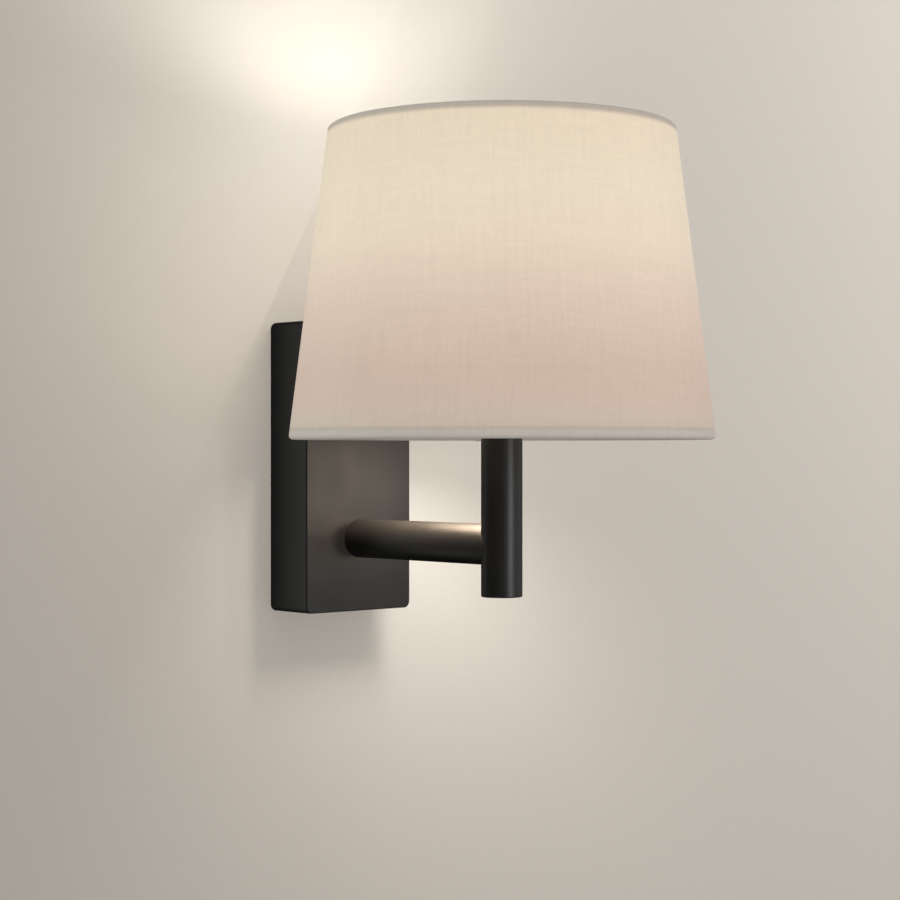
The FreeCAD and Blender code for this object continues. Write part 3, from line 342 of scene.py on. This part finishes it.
def eased_copy(node, name, width, steps, material, angle=30):
    """A CAD node's mesh, merged and with its edges eased by a width in mm, to stand for the node."""
    made = bpy.data.objects.new(name, frame["nodes"][node].data.copy())
    bpy.context.scene.collection.objects.link(made)
    pick(made)
    bpy.ops.mesh.customdata_custom_splitnormals_clear()
    bpy.ops.object.mode_set(mode="EDIT")
    bpy.ops.mesh.select_all(action="SELECT")
    bpy.ops.mesh.remove_doubles(threshold=TOUCHING)
    bpy.ops.mesh.dissolve_limited(angle_limit=math.radians(LEVEL))
    bpy.ops.object.mode_set(mode="OBJECT")
    if width:
        easing = made.modifiers.new("eased", "BEVEL")
        easing.width = width * MM
        easing.segments = steps
        easing.limit_method = "ANGLE"
        easing.angle_limit = math.radians(angle)
        easing.use_clamp_overlap = True
        bpy.ops.object.modifier_apply(modifier="eased")
    bpy.ops.object.shade_smooth_by_angle(angle=math.radians(angle))
    if width:
        flat_faces = made.modifiers.new("flat_faces", "WEIGHTED_NORMAL")
        flat_faces.keep_sharp = True
        bpy.ops.object.modifier_apply(modifier="flat_faces")
    finish_shape(name, material)
    attach(made, node)
    return made


backplate = eased_copy("canopy", "backplate", 0.35, 3, powder_coat)
eased_copy("canopy_screws", "backplate_screws", 0.08, 2, powder_coat)
eased_copy("post_end_cap", "post_foot", 0.15, 2, powder_coat)


# Wall bracket: folded steel with a bright zinc plate, with weld nuts, its brass earthing screw and
# a rubber grommet where the supply cable comes through.
zinc = plain_finish("zinc_plated_steel", (0.50, 0.52, 0.56), (0.66, 0.67, 0.69),
                    roughness=(0.24, 0.42), scale=900, depth=0.01, cloud=70, Metallic=1.0)
brass = plain_finish("plain_brass", (0.58, 0.41, 0.17), (0.74, 0.56, 0.27),
                     roughness=(0.24, 0.40), scale=1200, depth=0.01, cloud=150, Metallic=1.0)
rubber = plain_finish("black_rubber", (0.016, 0.016, 0.016), (0.030, 0.029, 0.028),
                      roughness=(0.55, 0.72), scale=700, depth=0.04, cloud=90)
eased_copy("wall_bracket", "folded_bracket", 0.2, 2, zinc)
eased_copy("bracket_nuts", "weld_nuts", 0.2, 2, zinc)
eased_copy("earth_screw", "earthing_screw", 0.15, 2, brass)
eased_copy("cable_grommet", "supply_grommet", 0.3, 3, rubber)


# Terminal block: three poles moulded in natural nylon, with brass cages and steel clamp screws, held
# by two screws through its ears.
nylon = plain_finish("natural_nylon", (0.66, 0.64, 0.57), (0.76, 0.74, 0.68),
                     roughness=(0.36, 0.50), scale=800, depth=0.02, cloud=60)
passivated = plain_finish("passivated_steel", (0.56, 0.50, 0.34), (0.68, 0.66, 0.60),
                          roughness=(0.28, 0.45), scale=1300, depth=0.01, cloud=260, Metallic=1.0)
eased_copy("terminal_block", "pole_block", 0.25, 2, nylon)
eased_copy("terminal_barrels", "brass_cages", 0.12, 2, brass)
eased_copy("terminal_screws", "clamp_screws", 0.1, 2, passivated)
eased_copy("terminal_block_screws", "ear_screws", 0.15, 2, zinc)


# Arm fixing: a hollow screw through the backplate with its plug in the arm, toothed washer, nut and
# the tinned eyelet of the earth wire. The post's own plug and hollow screw carry the lampholder.
THREAD_PITCH = 1.0
THREAD_DEPTH = 1.2
tinned = plain_finish("tinned_copper", (0.54, 0.50, 0.44), (0.68, 0.66, 0.62),
                      roughness=(0.30, 0.48), scale=1100, depth=0.01, cloud=200, Metallic=1.0)
threaded, tree, output = new_material("threaded_zinc")
texture = in_group(tree, grain, Scale=1200.0, Cloud_Scale=150.0)
spot = place_on_object(tree)
along = math_node(tree, "ADD", spot.outputs["Y"], spot.outputs["Z"])
flank = math_node(tree, "PINGPONG", along, THREAD_PITCH / 2 * MM)
shader = add(tree, "BsdfPrincipled", Metallic=1.0, Roughness=cloudy_gloss(tree, texture, (0.25, 0.40)),
             Base_Color=cloudy_colour(tree, texture, (0.52, 0.53, 0.56), (0.66, 0.67, 0.69)),
             Normal=add(tree, "Bump", Strength=1.0, Distance=THREAD_DEPTH, Height=flank))
tree.links.new(shader.outputs[0], output.inputs[0])
repaint(threaded, "arm_nipple", "lampholder_nipple")
repaint(zinc, "arm_end_plug", "post_top_plug")
eased_copy("arm_lock_washer", "toothed_washer", 0.08, 1, zinc)
eased_copy("arm_nut", "fixing_nut", 0.25, 2, zinc)
eased_copy("arm_earth_eyelet", "earth_eyelet", 0.1, 2, tinned)


# Wires: live and neutral in brown and blue, the earth wire in green with yellow sides, all in soft
# PVC that is smooth and a little shiny.
WIRE_GLOSS = (0.34, 0.46)
STRIPE_START, STRIPE_END = 0.55 * MM, 0.62 * MM
brown = plain_finish("brown_insulation", (0.105, 0.040, 0.018), (0.140, 0.056, 0.026),
                     roughness=WIRE_GLOSS, scale=900, depth=0.01, cloud=80)
blue = plain_finish("blue_insulation", (0.020, 0.085, 0.330), (0.034, 0.115, 0.400),
                    roughness=WIRE_GLOSS, scale=900, depth=0.01, cloud=80)
striped, tree, output = new_material("green_yellow_insulation")
texture = in_group(tree, grain, Scale=900.0, Cloud_Scale=80.0)
aside = math_node(tree, "ABSOLUTE", place_on_object(tree).outputs["X"])
stripe = add(tree, "MapRange", aside, STRIPE_START, STRIPE_END)
uneven = math_node(tree, "MULTIPLY_ADD", texture.outputs["Tone"], 0.06, stripe)
shader = add(tree, "BsdfPrincipled", Roughness=cloudy_gloss(tree, texture, WIRE_GLOSS), Base_Color=ramp(
    tree, uneven, (0.05, (0.045, 0.235, 0.040)), (0.95, (0.72, 0.56, 0.035))))
tree.links.new(shader.outputs[0], output.inputs[0])
for node, name, colour, slot in (("wire_live", "brown_wire", brown, "wire_brown"),
                                 ("wire_neutral", "blue_wire", blue, "wire_blue"),
                                 ("wire_earth", "earth_wire", striped, "wire_green")):
    eased_copy(node, name, 0, 0, colour, angle=60)


# Shade: a laminated linen cone. The cloth is rolled round a wire at each end and ends in a short lip
# inside, and its two edges are lapped at the back, towards the wall.
POST = -137 * MM    # the post's axis, before the wall
SHADE_LOW, SHADE_HIGH = 13.7, 163.7
LOW_RADIUS, HIGH_RADIUS = 102.5, 84.0
ROLL = 1.95    # outer radius of the cloth round a wire
LIP = 3.0
CLOTH = 0.6
SIDES, ROWS = 240, 40
SEAM, LAP = 138, 6    # bearing of the seam and width of its lap, in degrees from the room to the right
LAP_RISE = 0.35
SMOOTH = math.radians(40)


def turned(name, rings, sides, material, closed=False):
    """A turned piece: a circle extruded from ring to ring, (radius, height) in mm, about the post."""
    bpy.ops.object.select_all(action="DESELECT")
    radius, height = rings[0]
    bpy.ops.mesh.primitive_circle_add(vertices=sides, radius=radius * MM, location=(0, POST, height * MM))
    bpy.ops.object.mode_set(mode="EDIT")
    bpy.ops.mesh.select_mode(type="VERT")
    bpy.ops.mesh.select_all(action="SELECT")
    for next_radius, next_height in rings[1:]:
        rise = (next_height - height) * MM
        bpy.ops.mesh.extrude_region_move(TRANSFORM_OT_translate={"value": (0, 0, rise)})
        bpy.ops.transform.resize(value=(next_radius / radius, next_radius / radius, 1),
                                 center_override=(0, POST, next_height * MM))
        radius, height = next_radius, next_height
    bpy.ops.mesh.select_all(action="SELECT")
    if closed:
        bpy.ops.mesh.remove_doubles(threshold=TOUCHING)
        bpy.ops.mesh.normals_make_consistent(inside=False)
    else:
        bpy.ops.mesh.flip_normals()
    bpy.ops.object.mode_set(mode="OBJECT")
    bpy.ops.object.shade_smooth_by_angle(angle=SMOOTH)
    return finish_shape(name, material)


def raised_lap(piece, start, rise):
    """Lifts the strip of a sheet that starts at a bearing, where its end laps over its start."""
    pick(piece)
    bpy.ops.object.mode_set(mode="EDIT")
    bpy.ops.mesh.select_all(action="DESELECT")
    bpy.ops.object.mode_set(mode="OBJECT")
    for face in piece.data.polygons:
        bearing = math.degrees(math.atan2(face.center.x, POST - face.center.y)) % 360
        face.select = start < bearing < start + LAP
    bpy.ops.object.mode_set(mode="EDIT")
    bpy.ops.mesh.select_mode(type="FACE")
    bpy.ops.mesh.extrude_region_shrink_fatten(TRANSFORM_OT_shrink_fatten={"value": rise * MM})
    bpy.ops.object.mode_set(mode="OBJECT")


def thicken(piece, thickness):
    """Gives a sheet its thickness, on its inner side."""
    pick(piece)
    wall = piece.modifiers.new("wall", "SOLIDIFY")
    wall.thickness = thickness * MM
    wall.offset = -1
    bpy.ops.object.modifier_apply(modifier="wall")
    bpy.ops.object.shade_smooth_by_angle(angle=SMOOTH)


def roll(radius, height, first, last, steps=8):
    """Points round a frame wire, from one angle to another."""
    turns = [math.radians(first + (last - first) * step / steps) for step in range(steps + 1)]
    return [(radius + ROLL * math.cos(turn), height + ROLL * math.sin(turn)) for turn in turns]


def straight(low, high, rows):
    """Points of a straight side, from its low end to its high end."""
    return [tuple(start + (end - start) * row / rows for start, end in zip(low, high))
            for row in range(rows + 1)]


def height_share(tree):
    """How high a point lies on the shade, from 0 at its foot to 1 at its top."""
    return add(tree, "MapRange", place_on_object(tree).outputs["Z"], SHADE_LOW * MM, SHADE_HIGH * MM)


low_end, high_end = SHADE_LOW + ROLL, SHADE_HIGH - ROLL
outline = [(LOW_RADIUS - 2 * ROLL, SHADE_LOW + LIP), *roll(LOW_RADIUS - ROLL, low_end, 180, 360),
           *straight((LOW_RADIUS, low_end), (HIGH_RADIUS, high_end), ROWS)[1:-1],
           *roll(HIGH_RADIUS - ROLL, high_end, 0, 180), (HIGH_RADIUS - 2 * ROLL, SHADE_HIGH - LIP)]

# The weave: threads both ways, each with long slubs along it and a slight wobble across it.
THREAD = 0.42
SLUB_STRETCH = 0.07
THREAD_WOBBLE = 0.6
weave, weave_in, weave_out = new_group("linen_weave", {"Pitch": THREAD}, ["Height", "Tone"])
weave_place = add(weave, "UVMap", uv_map="cut").outputs[0]
threads = []
for along, across in (((1, SLUB_STRETCH, 1), "X"), ((SLUB_STRETCH, 1, 1), "Y")):
    stretched = add(weave, "Mapping", weave_place, vector_type="POINT", Scale=along)
    slubs = add(weave, "TexNoise", stretched, Scale=1500, Detail=2.0, Roughness=0.7)
    broad = add(weave, "TexNoise", stretched, Scale=420, Detail=2.0, Roughness=0.6)
    axis = add(weave, "SeparateXYZ", weave_place).outputs[across]
    wobble = math_node(weave, "MULTIPLY_ADD", broad, THREAD_WOBBLE * MM, axis)
    count = math_node(weave, "DIVIDE", wobble, math_node(weave, "MULTIPLY", weave_in.outputs["Pitch"], MM))
    ridge = math_node(weave, "SINE", math_node(weave, "MULTIPLY", count, 2 * math.pi))
    threads.append((slubs, broad, ridge))
slub_sum, broad_sum, ridge_sum = [math_node(weave, "ADD", *pair) for pair in zip(*threads)]
relief = math_node(weave, "MULTIPLY_ADD", ridge_sum, 0.25, slub_sum)
weave.links.new(relief.outputs[0], weave_out.inputs["Height"])
tone = math_node(weave, "MULTIPLY_ADD", broad_sum, 0.5, math_node(weave, "MULTIPLY", slub_sum, 0.5))
weave.links.new(tone.outputs[0], weave_out.inputs["Tone"])

# The linen: undyed yarn, made a little greyer in its rolled hems and darker along a line just above the foot
# hem as painted shade. The lamp's light through it is painted in as an emitted glow, least at its foot and
# almost none in the hems.
linen, tree, output = new_material("shade_linen")
share = height_share(tree)
cloth = in_group(tree, weave, Pitch=THREAD)
cloth_tone = add(tree, "MapRange", cloth.outputs["Tone"], 0.7, 1.3, 0.945, 1.055)
# Painted shade: greyer rolled hems and a darker line just above the foot hem.
yarn_with_painted_hem_shade = ramp(tree, share, (0.0, (0.46, 0.42, 0.38)), (0.024, (0.48, 0.425, 0.375)),
            (0.032, (0.41, 0.35, 0.30)), (0.040, (0.48, 0.405, 0.34)), (0.090, (0.50, 0.42, 0.35)),
            (0.984, (0.50, 0.42, 0.345)), (0.992, (0.46, 0.41, 0.36)))
# Painted light: the lamp's light through the cloth as an emitted glow, by height.
glow = ramp(tree, share, (0.0, (0.09, 0.085, 0.08)), (0.028, (0.10, 0.088, 0.076)),
            (0.036, (0.155, 0.127, 0.104)), (0.075, (0.165, 0.137, 0.11)), (0.095, (0.18, 0.122, 0.10)),
            (0.20, (0.20, 0.125, 0.10)), (0.38, (0.28, 0.20, 0.16)), (0.60, (0.39, 0.33, 0.245)),
            (0.76, (0.40, 0.355, 0.26)), (0.972, (0.385, 0.33, 0.235)), (0.984, (0.07, 0.06, 0.055)))
colour, light = [add(tree, "VectorMath", part.outputs[0], operation="SCALE", Scale=cloth_tone.outputs[0])
                 for part in (yarn_with_painted_hem_shade, glow)]
shader = add(tree, "BsdfPrincipled", Base_Color=colour, Emission_Color=light, Emission_Strength=1.0,
             Roughness=0.85, Sheen_Weight=0.12, Sheen_Roughness=0.4, Specular_IOR_Level=0.2,
             Normal=add(tree, "Bump", Strength=0.7, Distance=0.12 * MM, Height=cloth.outputs["Height"]))
tree.links.new(shader.outputs[0], output.inputs[0])

shade = turned("shade_cloth", outline, SIDES, linen)
raised_lap(shade, SEAM, LAP_RISE)

# The cloth's own coordinates are those of the flat ring sector that it is cut from, in metres.
CUT_PLACE = (0.5, 0.25)
taper = math.atan((LOW_RADIUS - HIGH_RADIUS) / (high_end - low_end))
slant = LOW_RADIUS * MM / math.sin(taper)
cut = shade.data.uv_layers.new(name="cut")
for face in shade.data.polygons:
    corners = [shade.data.vertices[vertex].co for vertex in face.vertices]
    turns = [math.atan2(corner.x, POST - corner.y) - math.radians(SEAM - 180) for corner in corners]
    turns = [turn + 2 * math.pi if turn < -math.pi else turn for turn in turns]
    for loop, corner, turn in zip(face.loop_indices, corners, turns):
        if max(turns) - min(turns) > math.pi and turn < 0:
            turn += 2 * math.pi
        down = slant - (corner.z - low_end * MM) / math.cos(taper)
        flat_turn = turn * math.sin(taper)
        cut.data[loop].uv = (down * math.sin(flat_turn) + CUT_PLACE[0],
                             slant - down * math.cos(flat_turn) + CUT_PLACE[1])
thicken(shade, CLOTH)
attach(shade, "shade_fabric")


# Lining: white styrene film behind the cloth, rolled to the same cone between the two frame wires
# and lapped at the back. Besides the small lamp inside, the lamp's light on it is painted in as an
# emitted glow that is brightest about three quarters of the way up.
FILM_LOW, FILM_HIGH = (101.3, 17.6), (83.3, 159.8)    # radius and height of its ends
FILM = 0.4
FILM_ROWS = 12
FILM_SEAM, FILM_LAP_RISE = SEAM + 2, -0.25
film_finish, tree, output = new_material("styrene_film")
texture = in_group(tree, grain, Scale=700.0, Cloud_Scale=25.0)
# Painted light: the lamp's light on the film as an emitted glow, by height.
glow = ramp(tree, height_share(tree), (0.0, (0.30, 0.22, 0.14)), (0.45, (0.55, 0.44, 0.30)),
            (0.72, (0.80, 0.68, 0.50)), (1.0, (0.55, 0.45, 0.32)))
shader = add(tree, "BsdfPrincipled", Emission_Color=glow, Emission_Strength=0.5,
             Base_Color=cloudy_colour(tree, texture, (0.76, 0.73, 0.68), (0.82, 0.79, 0.74)),
             Roughness=cloudy_gloss(tree, texture, (0.42, 0.55)), Normal=grain_relief(tree, texture, 0.03))
tree.links.new(shader.outputs[0], output.inputs[0])
liner = turned("liner_film", straight(FILM_LOW, FILM_HIGH, FILM_ROWS), SIDES, film_finish)
raised_lap(liner, FILM_SEAM, FILM_LAP_RISE)
thicken(liner, FILM)
attach(liner, "shade_liner")


# Frame: two hoops of steel wire in the hems, three cranked spokes and a flat ring that the lampholder
# holds, welded together and coated white.
HOOP_WIRE = 1.25
white_coat = plain_finish("white_epoxy", (0.64, 0.64, 0.61), (0.73, 0.73, 0.70),
                          roughness=(0.30, 0.44), scale=800, depth=0.02, cloud=60)
for name, node, radius, height in (("bottom_hoop", "shade_bottom_wire", LOW_RADIUS - ROLL, low_end),
                                   ("top_hoop", "shade_top_wire", HIGH_RADIUS - ROLL, high_end)):
    bpy.ops.object.select_all(action="DESELECT")
    bpy.ops.mesh.primitive_torus_add(major_radius=radius * MM, minor_radius=HOOP_WIRE * MM,
                                     major_segments=160, minor_segments=12, location=(0, POST, height * MM))
    bpy.ops.object.shade_smooth()
    attach(finish_shape(name, white_coat), node)
eased_copy("fitter_ring", "fitter_plate", 0.3, 2, white_coat)

# One spoke runs out level from the ring, down in a straight slope and level again to the lower hoop.
SPOKE_WIRE = 1.5
SPOKE_IN, SPOKE_OUT = 30.6, 100.55
SPOKE_HIGH, SPOKE_LOW = 45.1, 18.5
CRANK, BEND = 7.0, 3.0
IN_RING = 0.2
WELDS = ((SPOKE_IN + 0.6, SPOKE_HIGH, 2.1), (SPOKE_OUT - 0.4, SPOKE_LOW - 1.0, 1.9))
WELD_SHAPE = (1.15, 0.9, 0.8)
fall = math.atan2(SPOKE_HIGH - SPOKE_LOW, SPOKE_OUT - SPOKE_IN - 2 * CRANK)
crank_in, crank_out = SPOKE_IN + CRANK, SPOKE_OUT - CRANK
bend_out, bend_down = BEND * math.cos(fall), BEND * math.sin(fall)
route = [(SPOKE_IN - IN_RING, SPOKE_HIGH), (crank_in - BEND, SPOKE_HIGH), (crank_in, SPOKE_HIGH),
         (crank_in + bend_out, SPOKE_HIGH - bend_down), (crank_out - bend_out, SPOKE_LOW + bend_down),
         (crank_out, SPOKE_LOW), (crank_out + BEND, SPOKE_LOW), (SPOKE_OUT, SPOKE_LOW)]
bent = bpy.data.curves.new("spoke", "CURVE")
bent.dimensions = "3D"
bent.bevel_depth = SPOKE_WIRE * MM
bent.bevel_resolution = 3
bent.use_fill_caps = True
line = bent.splines.new("NURBS")
line.points.add(len(route) - 1)
for point, (out, up) in zip(line.points, route):
    point.co = (0, out * MM, up * MM, 1)
line.order_u = 3
line.use_endpoint_u = True
line.resolution_u = 6
spoke = bpy.data.objects.new("spoke", bent)
bpy.context.scene.collection.objects.link(spoke)
pick(spoke)
bpy.ops.object.convert(target="MESH")
for out, up, radius in WELDS:
    weld_place = (0, out * MM, up * MM)
    bpy.ops.mesh.primitive_ico_sphere_add(subdivisions=3, radius=radius * MM, location=weld_place)
    bpy.ops.transform.resize(value=WELD_SHAPE, center_override=weld_place)
    bpy.ops.object.transform_apply(location=True, rotation=True, scale=True)
    pick(bpy.context.object, spoke)
    bpy.ops.object.join()
spoke.location = (0, POST, 0)
bpy.ops.object.transform_apply(location=True, rotation=True, scale=True)
copies = []
for turn in (120, 240):
    pick(spoke)
    bpy.ops.object.duplicate()
    bpy.ops.object.mode_set(mode="EDIT")
    bpy.ops.mesh.select_all(action="SELECT")
    bpy.ops.transform.rotate(value=math.radians(turn), orient_axis="Z", center_override=(0, POST, 0))
    bpy.ops.object.mode_set(mode="OBJECT")
    copies.append(bpy.context.object)
pick(*copies, spoke)
bpy.ops.object.join()
bpy.ops.object.shade_smooth_by_angle(angle=SMOOTH)
attach(finish_shape("spokes", white_coat), "fitter_spokes")


# Lampholder: a black moulded cup and threaded shell with two rings that clamp the fitter, and inside
# it a steatite core with a brass screw shell and a sprung contact.
TURNED_SIDES = 128
black_plastic = plain_finish("black_thermoplastic", (0.018, 0.018, 0.019), (0.026, 0.026, 0.027),
                             roughness=(0.30, 0.42), scale=1000, depth=0.02, cloud=50)
steatite = plain_finish("steatite", (0.66, 0.64, 0.59), (0.76, 0.74, 0.69),
                        roughness=(0.52, 0.68), scale=600, depth=0.03, cloud=90)


def ridge_about_axis(sides, root, depth, pitch, low, turns, steps=48):
    """A helical ridge about the Z axis, half sunk in its core, whose ends run out into the core."""
    bpy.ops.object.select_all(action="DESELECT")
    bpy.ops.mesh.primitive_circle_add(vertices=sides, radius=1, location=(root * MM, 0, low * MM),
                                      rotation=(math.radians(90), 0, 0))
    made = bpy.context.object
    made.scale = (depth * MM, pitch / 2 * MM, 1)
    bpy.ops.object.transform_apply(location=True, rotation=True, scale=True)
    screw = made.modifiers.new("turns", "SCREW")
    screw.axis = "Z"
    screw.screw_offset = pitch * MM
    screw.iterations = turns
    screw.steps = screw.render_steps = steps
    bpy.ops.object.modifier_apply(modifier="turns")
    bpy.ops.object.mode_set(mode="EDIT")
    bpy.ops.mesh.select_all(action="SELECT")
    bpy.ops.mesh.fill_holes(sides=sides)
    bpy.ops.mesh.select_all(action="SELECT")
    bpy.ops.mesh.normals_make_consistent(inside=False)
    bpy.ops.mesh.select_mode(type="FACE")
    bpy.ops.mesh.select_all(action="DESELECT")
    bpy.ops.mesh.select_face_by_sides(number=sides)
    sunk = 1 - 1.1 * depth / root
    bpy.ops.transform.resize(value=(sunk, sunk, 1), center_override=(0, 0, 0))
    bpy.ops.object.mode_set(mode="OBJECT")
    made.location = (0, POST, 0)
    bpy.ops.object.transform_apply(location=True, rotation=True, scale=True)
    return made


def threaded_piece(name, rings, material, slot, node, **ridge_sizes):
    """A turned core with a real helical ridge, as one piece."""
    core = turned(name + "_core", rings, TURNED_SIDES, material, closed=True)
    pick(ridge_about_axis(**ridge_sizes), core)
    bpy.ops.object.join()
    bpy.ops.object.shade_smooth_by_angle(angle=SMOOTH)
    attach(finish_shape(name, material), node)


threaded_piece("holder_shell", [
    (17.6, 34.1), (18.7, 34.1), (19.05, 34.4), (19.05, 64.0), (19.0, 64.2), (19.0, 77.4), (18.86, 77.8),
    (18.5, 78.0), (17.9, 78.0), (17.6, 77.7), (17.6, 34.1)], black_plastic, "holder_plastic",
    "lampholder_skirt", sides=6, root=19.05, depth=0.68, pitch=2.0, low=35.6, turns=13)
eased_copy("lampholder_cap", "holder_cup", 0.3, 2, black_plastic)
eased_copy("lower_shade_ring", "lower_ring", 0.3, 2, black_plastic)
eased_copy("shade_clamp_ring", "clamp_ring", 0.3, 2, black_plastic)
eased_copy("lampholder_insert", "holder_core", 0.2, 2, steatite)
repaint(brass, "lampholder_screw_shell", "lampholder_centre_contact")


# Lamp: an opal diffuser in a white housing over a nickel-plated cap with a rolled thread, a black
# glass insulator and a soldered contact.
GLOBE_DIM, GLOBE_BRIGHT = 106 * MM, 120 * MM    # heights between which its glow grows
white_housing = plain_finish("white_housing", (0.70, 0.70, 0.67), (0.77, 0.77, 0.74),
                             roughness=(0.30, 0.42), scale=900, depth=0.01, cloud=45)
nickel = plain_finish("nickel_plate", (0.56, 0.54, 0.50), (0.68, 0.66, 0.62),
                      roughness=(0.20, 0.34), scale=1200, depth=0.01, cloud=130, Metallic=1.0)
black_glass = plain_finish("black_glass", (0.010, 0.010, 0.012), (0.016, 0.016, 0.018),
                           roughness=(0.08, 0.16), scale=500, depth=0.01, cloud=60)
solder = plain_finish("solder", (0.50, 0.50, 0.48), (0.64, 0.64, 0.62),
                      roughness=(0.34, 0.52), scale=420, depth=0.12, cloud=200, Metallic=1.0)
opal, tree, output = new_material("lit_opal")
texture = in_group(tree, grain, Scale=1100.0, Cloud_Scale=30.0)
lit = add(tree, "MapRange", place_on_object(tree).outputs["Z"], GLOBE_DIM, GLOBE_BRIGHT, 0.35, 1.0)
lamp_tone = cloudy_colour(tree, texture, (0.96, 0.83, 0.64), (1.0, 0.88, 0.69))
glow = add(tree, "VectorMath", lamp_tone.outputs[0], operation="SCALE", Scale=lit.outputs[0])
shader = add(tree, "BsdfPrincipled", Emission_Color=glow, Emission_Strength=0.9,
             Base_Color=cloudy_colour(tree, texture, (0.82, 0.80, 0.75), (0.86, 0.84, 0.79)),
             Roughness=cloudy_gloss(tree, texture, (0.34, 0.44)), Normal=grain_relief(tree, texture, 0.01))
tree.links.new(shader.outputs[0], output.inputs[0])
repaint(opal, "bulb_globe")
repaint(white_housing, "bulb_housing")
threaded_piece("lamp_cap", [
    (11.4, 48.8), (11.9, 48.8), (12.2, 49.3), (12.2, 64.8), (12.5, 65.6), (13.5, 68.0), (14.1, 69.6),
    (14.2, 70.1), (14.1, 70.5), (11.4, 70.5), (11.4, 48.8)], nickel, "lamp_cap_nickel",
    "bulb_cap", sides=12, root=12.15, depth=0.92, pitch=3.6, low=51.2, turns=3)
eased_copy("bulb_insulator", "lamp_insulator", 0.2, 2, black_glass)
eased_copy("bulb_contact", "lamp_contact", 0.3, 3, solder)


# Lamp light: what leaves the shade at its open ends for the wall, the arm and the backplate, what comes
# through its cloth, and the even light inside it. Two cool lamps light the cloth from its two sides.
WARM = (1.0, 0.98, 0.94)
GLOBE_PLACE, GLOBE_RADIUS = (0, POST, 0.122), 0.0305
arm = frame["nodes"]["arm_tube"]
metalwork = (arm, frame["nodes"]["post_tube"], backplate)
frame["nodes"]["bulb_globe"].visible_shadow = False


def shaded_by(lamp, *pieces):
    """Lets only these pieces stand in a lamp's light."""
    blockers = bpy.data.collections.new(lamp.name + "_blockers")
    for piece in pieces:
        blockers.objects.link(piece)
    lamp.light_linking.blocker_collection = blockers


def round_lamp(name, place, target, size, power, colour, spread=180):
    """A round flat lamp whose beam has a spread in degrees."""
    lamp = soft_lamp(name, place, target, (size, size), power, colour, "DISK")
    lamp.data.spread = math.radians(spread)
    return lamp


def small_lamp(name, place, radius, power):
    """A ball of light that shows in no reflection."""
    light = bpy.data.lights.new(name, "POINT")
    light.energy = power
    light.color = WARM
    light.shadow_soft_size = radius
    lamp = bpy.data.objects.new(name, light)
    lamp.location = place
    lamp.visible_camera = lamp.visible_glossy = False
    bpy.context.scene.collection.objects.link(lamp)
    return lamp


wall_rise = round_lamp("wall_rise", (0, POST, 0.125), (0.01, -0.03, 0.31), 0.06, 0.165, WARM, spread=140)
light_only(wall_rise, room_wall, room_floor)
wall_fall = round_lamp("wall_fall", (0.012, POST, 0.078), (0.232, -0.057, -0.042), 0.08, 0.47, WARM)
light_only(wall_fall, room_wall, room_floor)
shaded_by(wall_fall, shade, backplate)
arm_fall = round_lamp("arm_fall", (0, POST + 0.046, 0.034), (0, POST + 0.046, 0), 0.085, 0.37,
                      (1.0, 0.77, 0.57), spread=122)
light_only(arm_fall, arm)
shaded_by(arm_fall, shade, *metalwork)
rim_fall = round_lamp("rim_fall", (0.04, POST + 0.03, 0.009), (0.07, 0, -0.01), 0.03, 0.035, WARM)
light_only(rim_fall, room_wall)
shaded_by(rim_fall, shade, backplate)
plate_fall = round_lamp("plate_fall", (0.085, -0.15, -0.012), (0, -0.03, -0.01), 0.07, 0.058,
                        (1.0, 0.82, 0.66))
light_only(plate_fall, backplate)
shaded_by(plate_fall, shade, backplate)
small_lamp("inside_light", GLOBE_PLACE, GLOBE_RADIUS, 0.10)
shine = small_lamp("shade_shine", (0, -0.077, 0.147), 0.05, 0.46)
light_only(shine, backplate, room_wall)
shaded_by(shine, *metalwork)
for name, place, power, colour in (("left_lamp", (-1.4, 0.5, 0.3), 16, (0.93, 1.0, 1.0)),
                                   ("right_lamp", (1.3, 0.6, 0.2), 14, (0.85, 0.95, 1.0))):
    lamp = soft_lamp(name, place, (0, -0.1, 0.08), (1.2, 1.2), power, colour)
    lamp.visible_glossy = False
    light_only(lamp, shade)
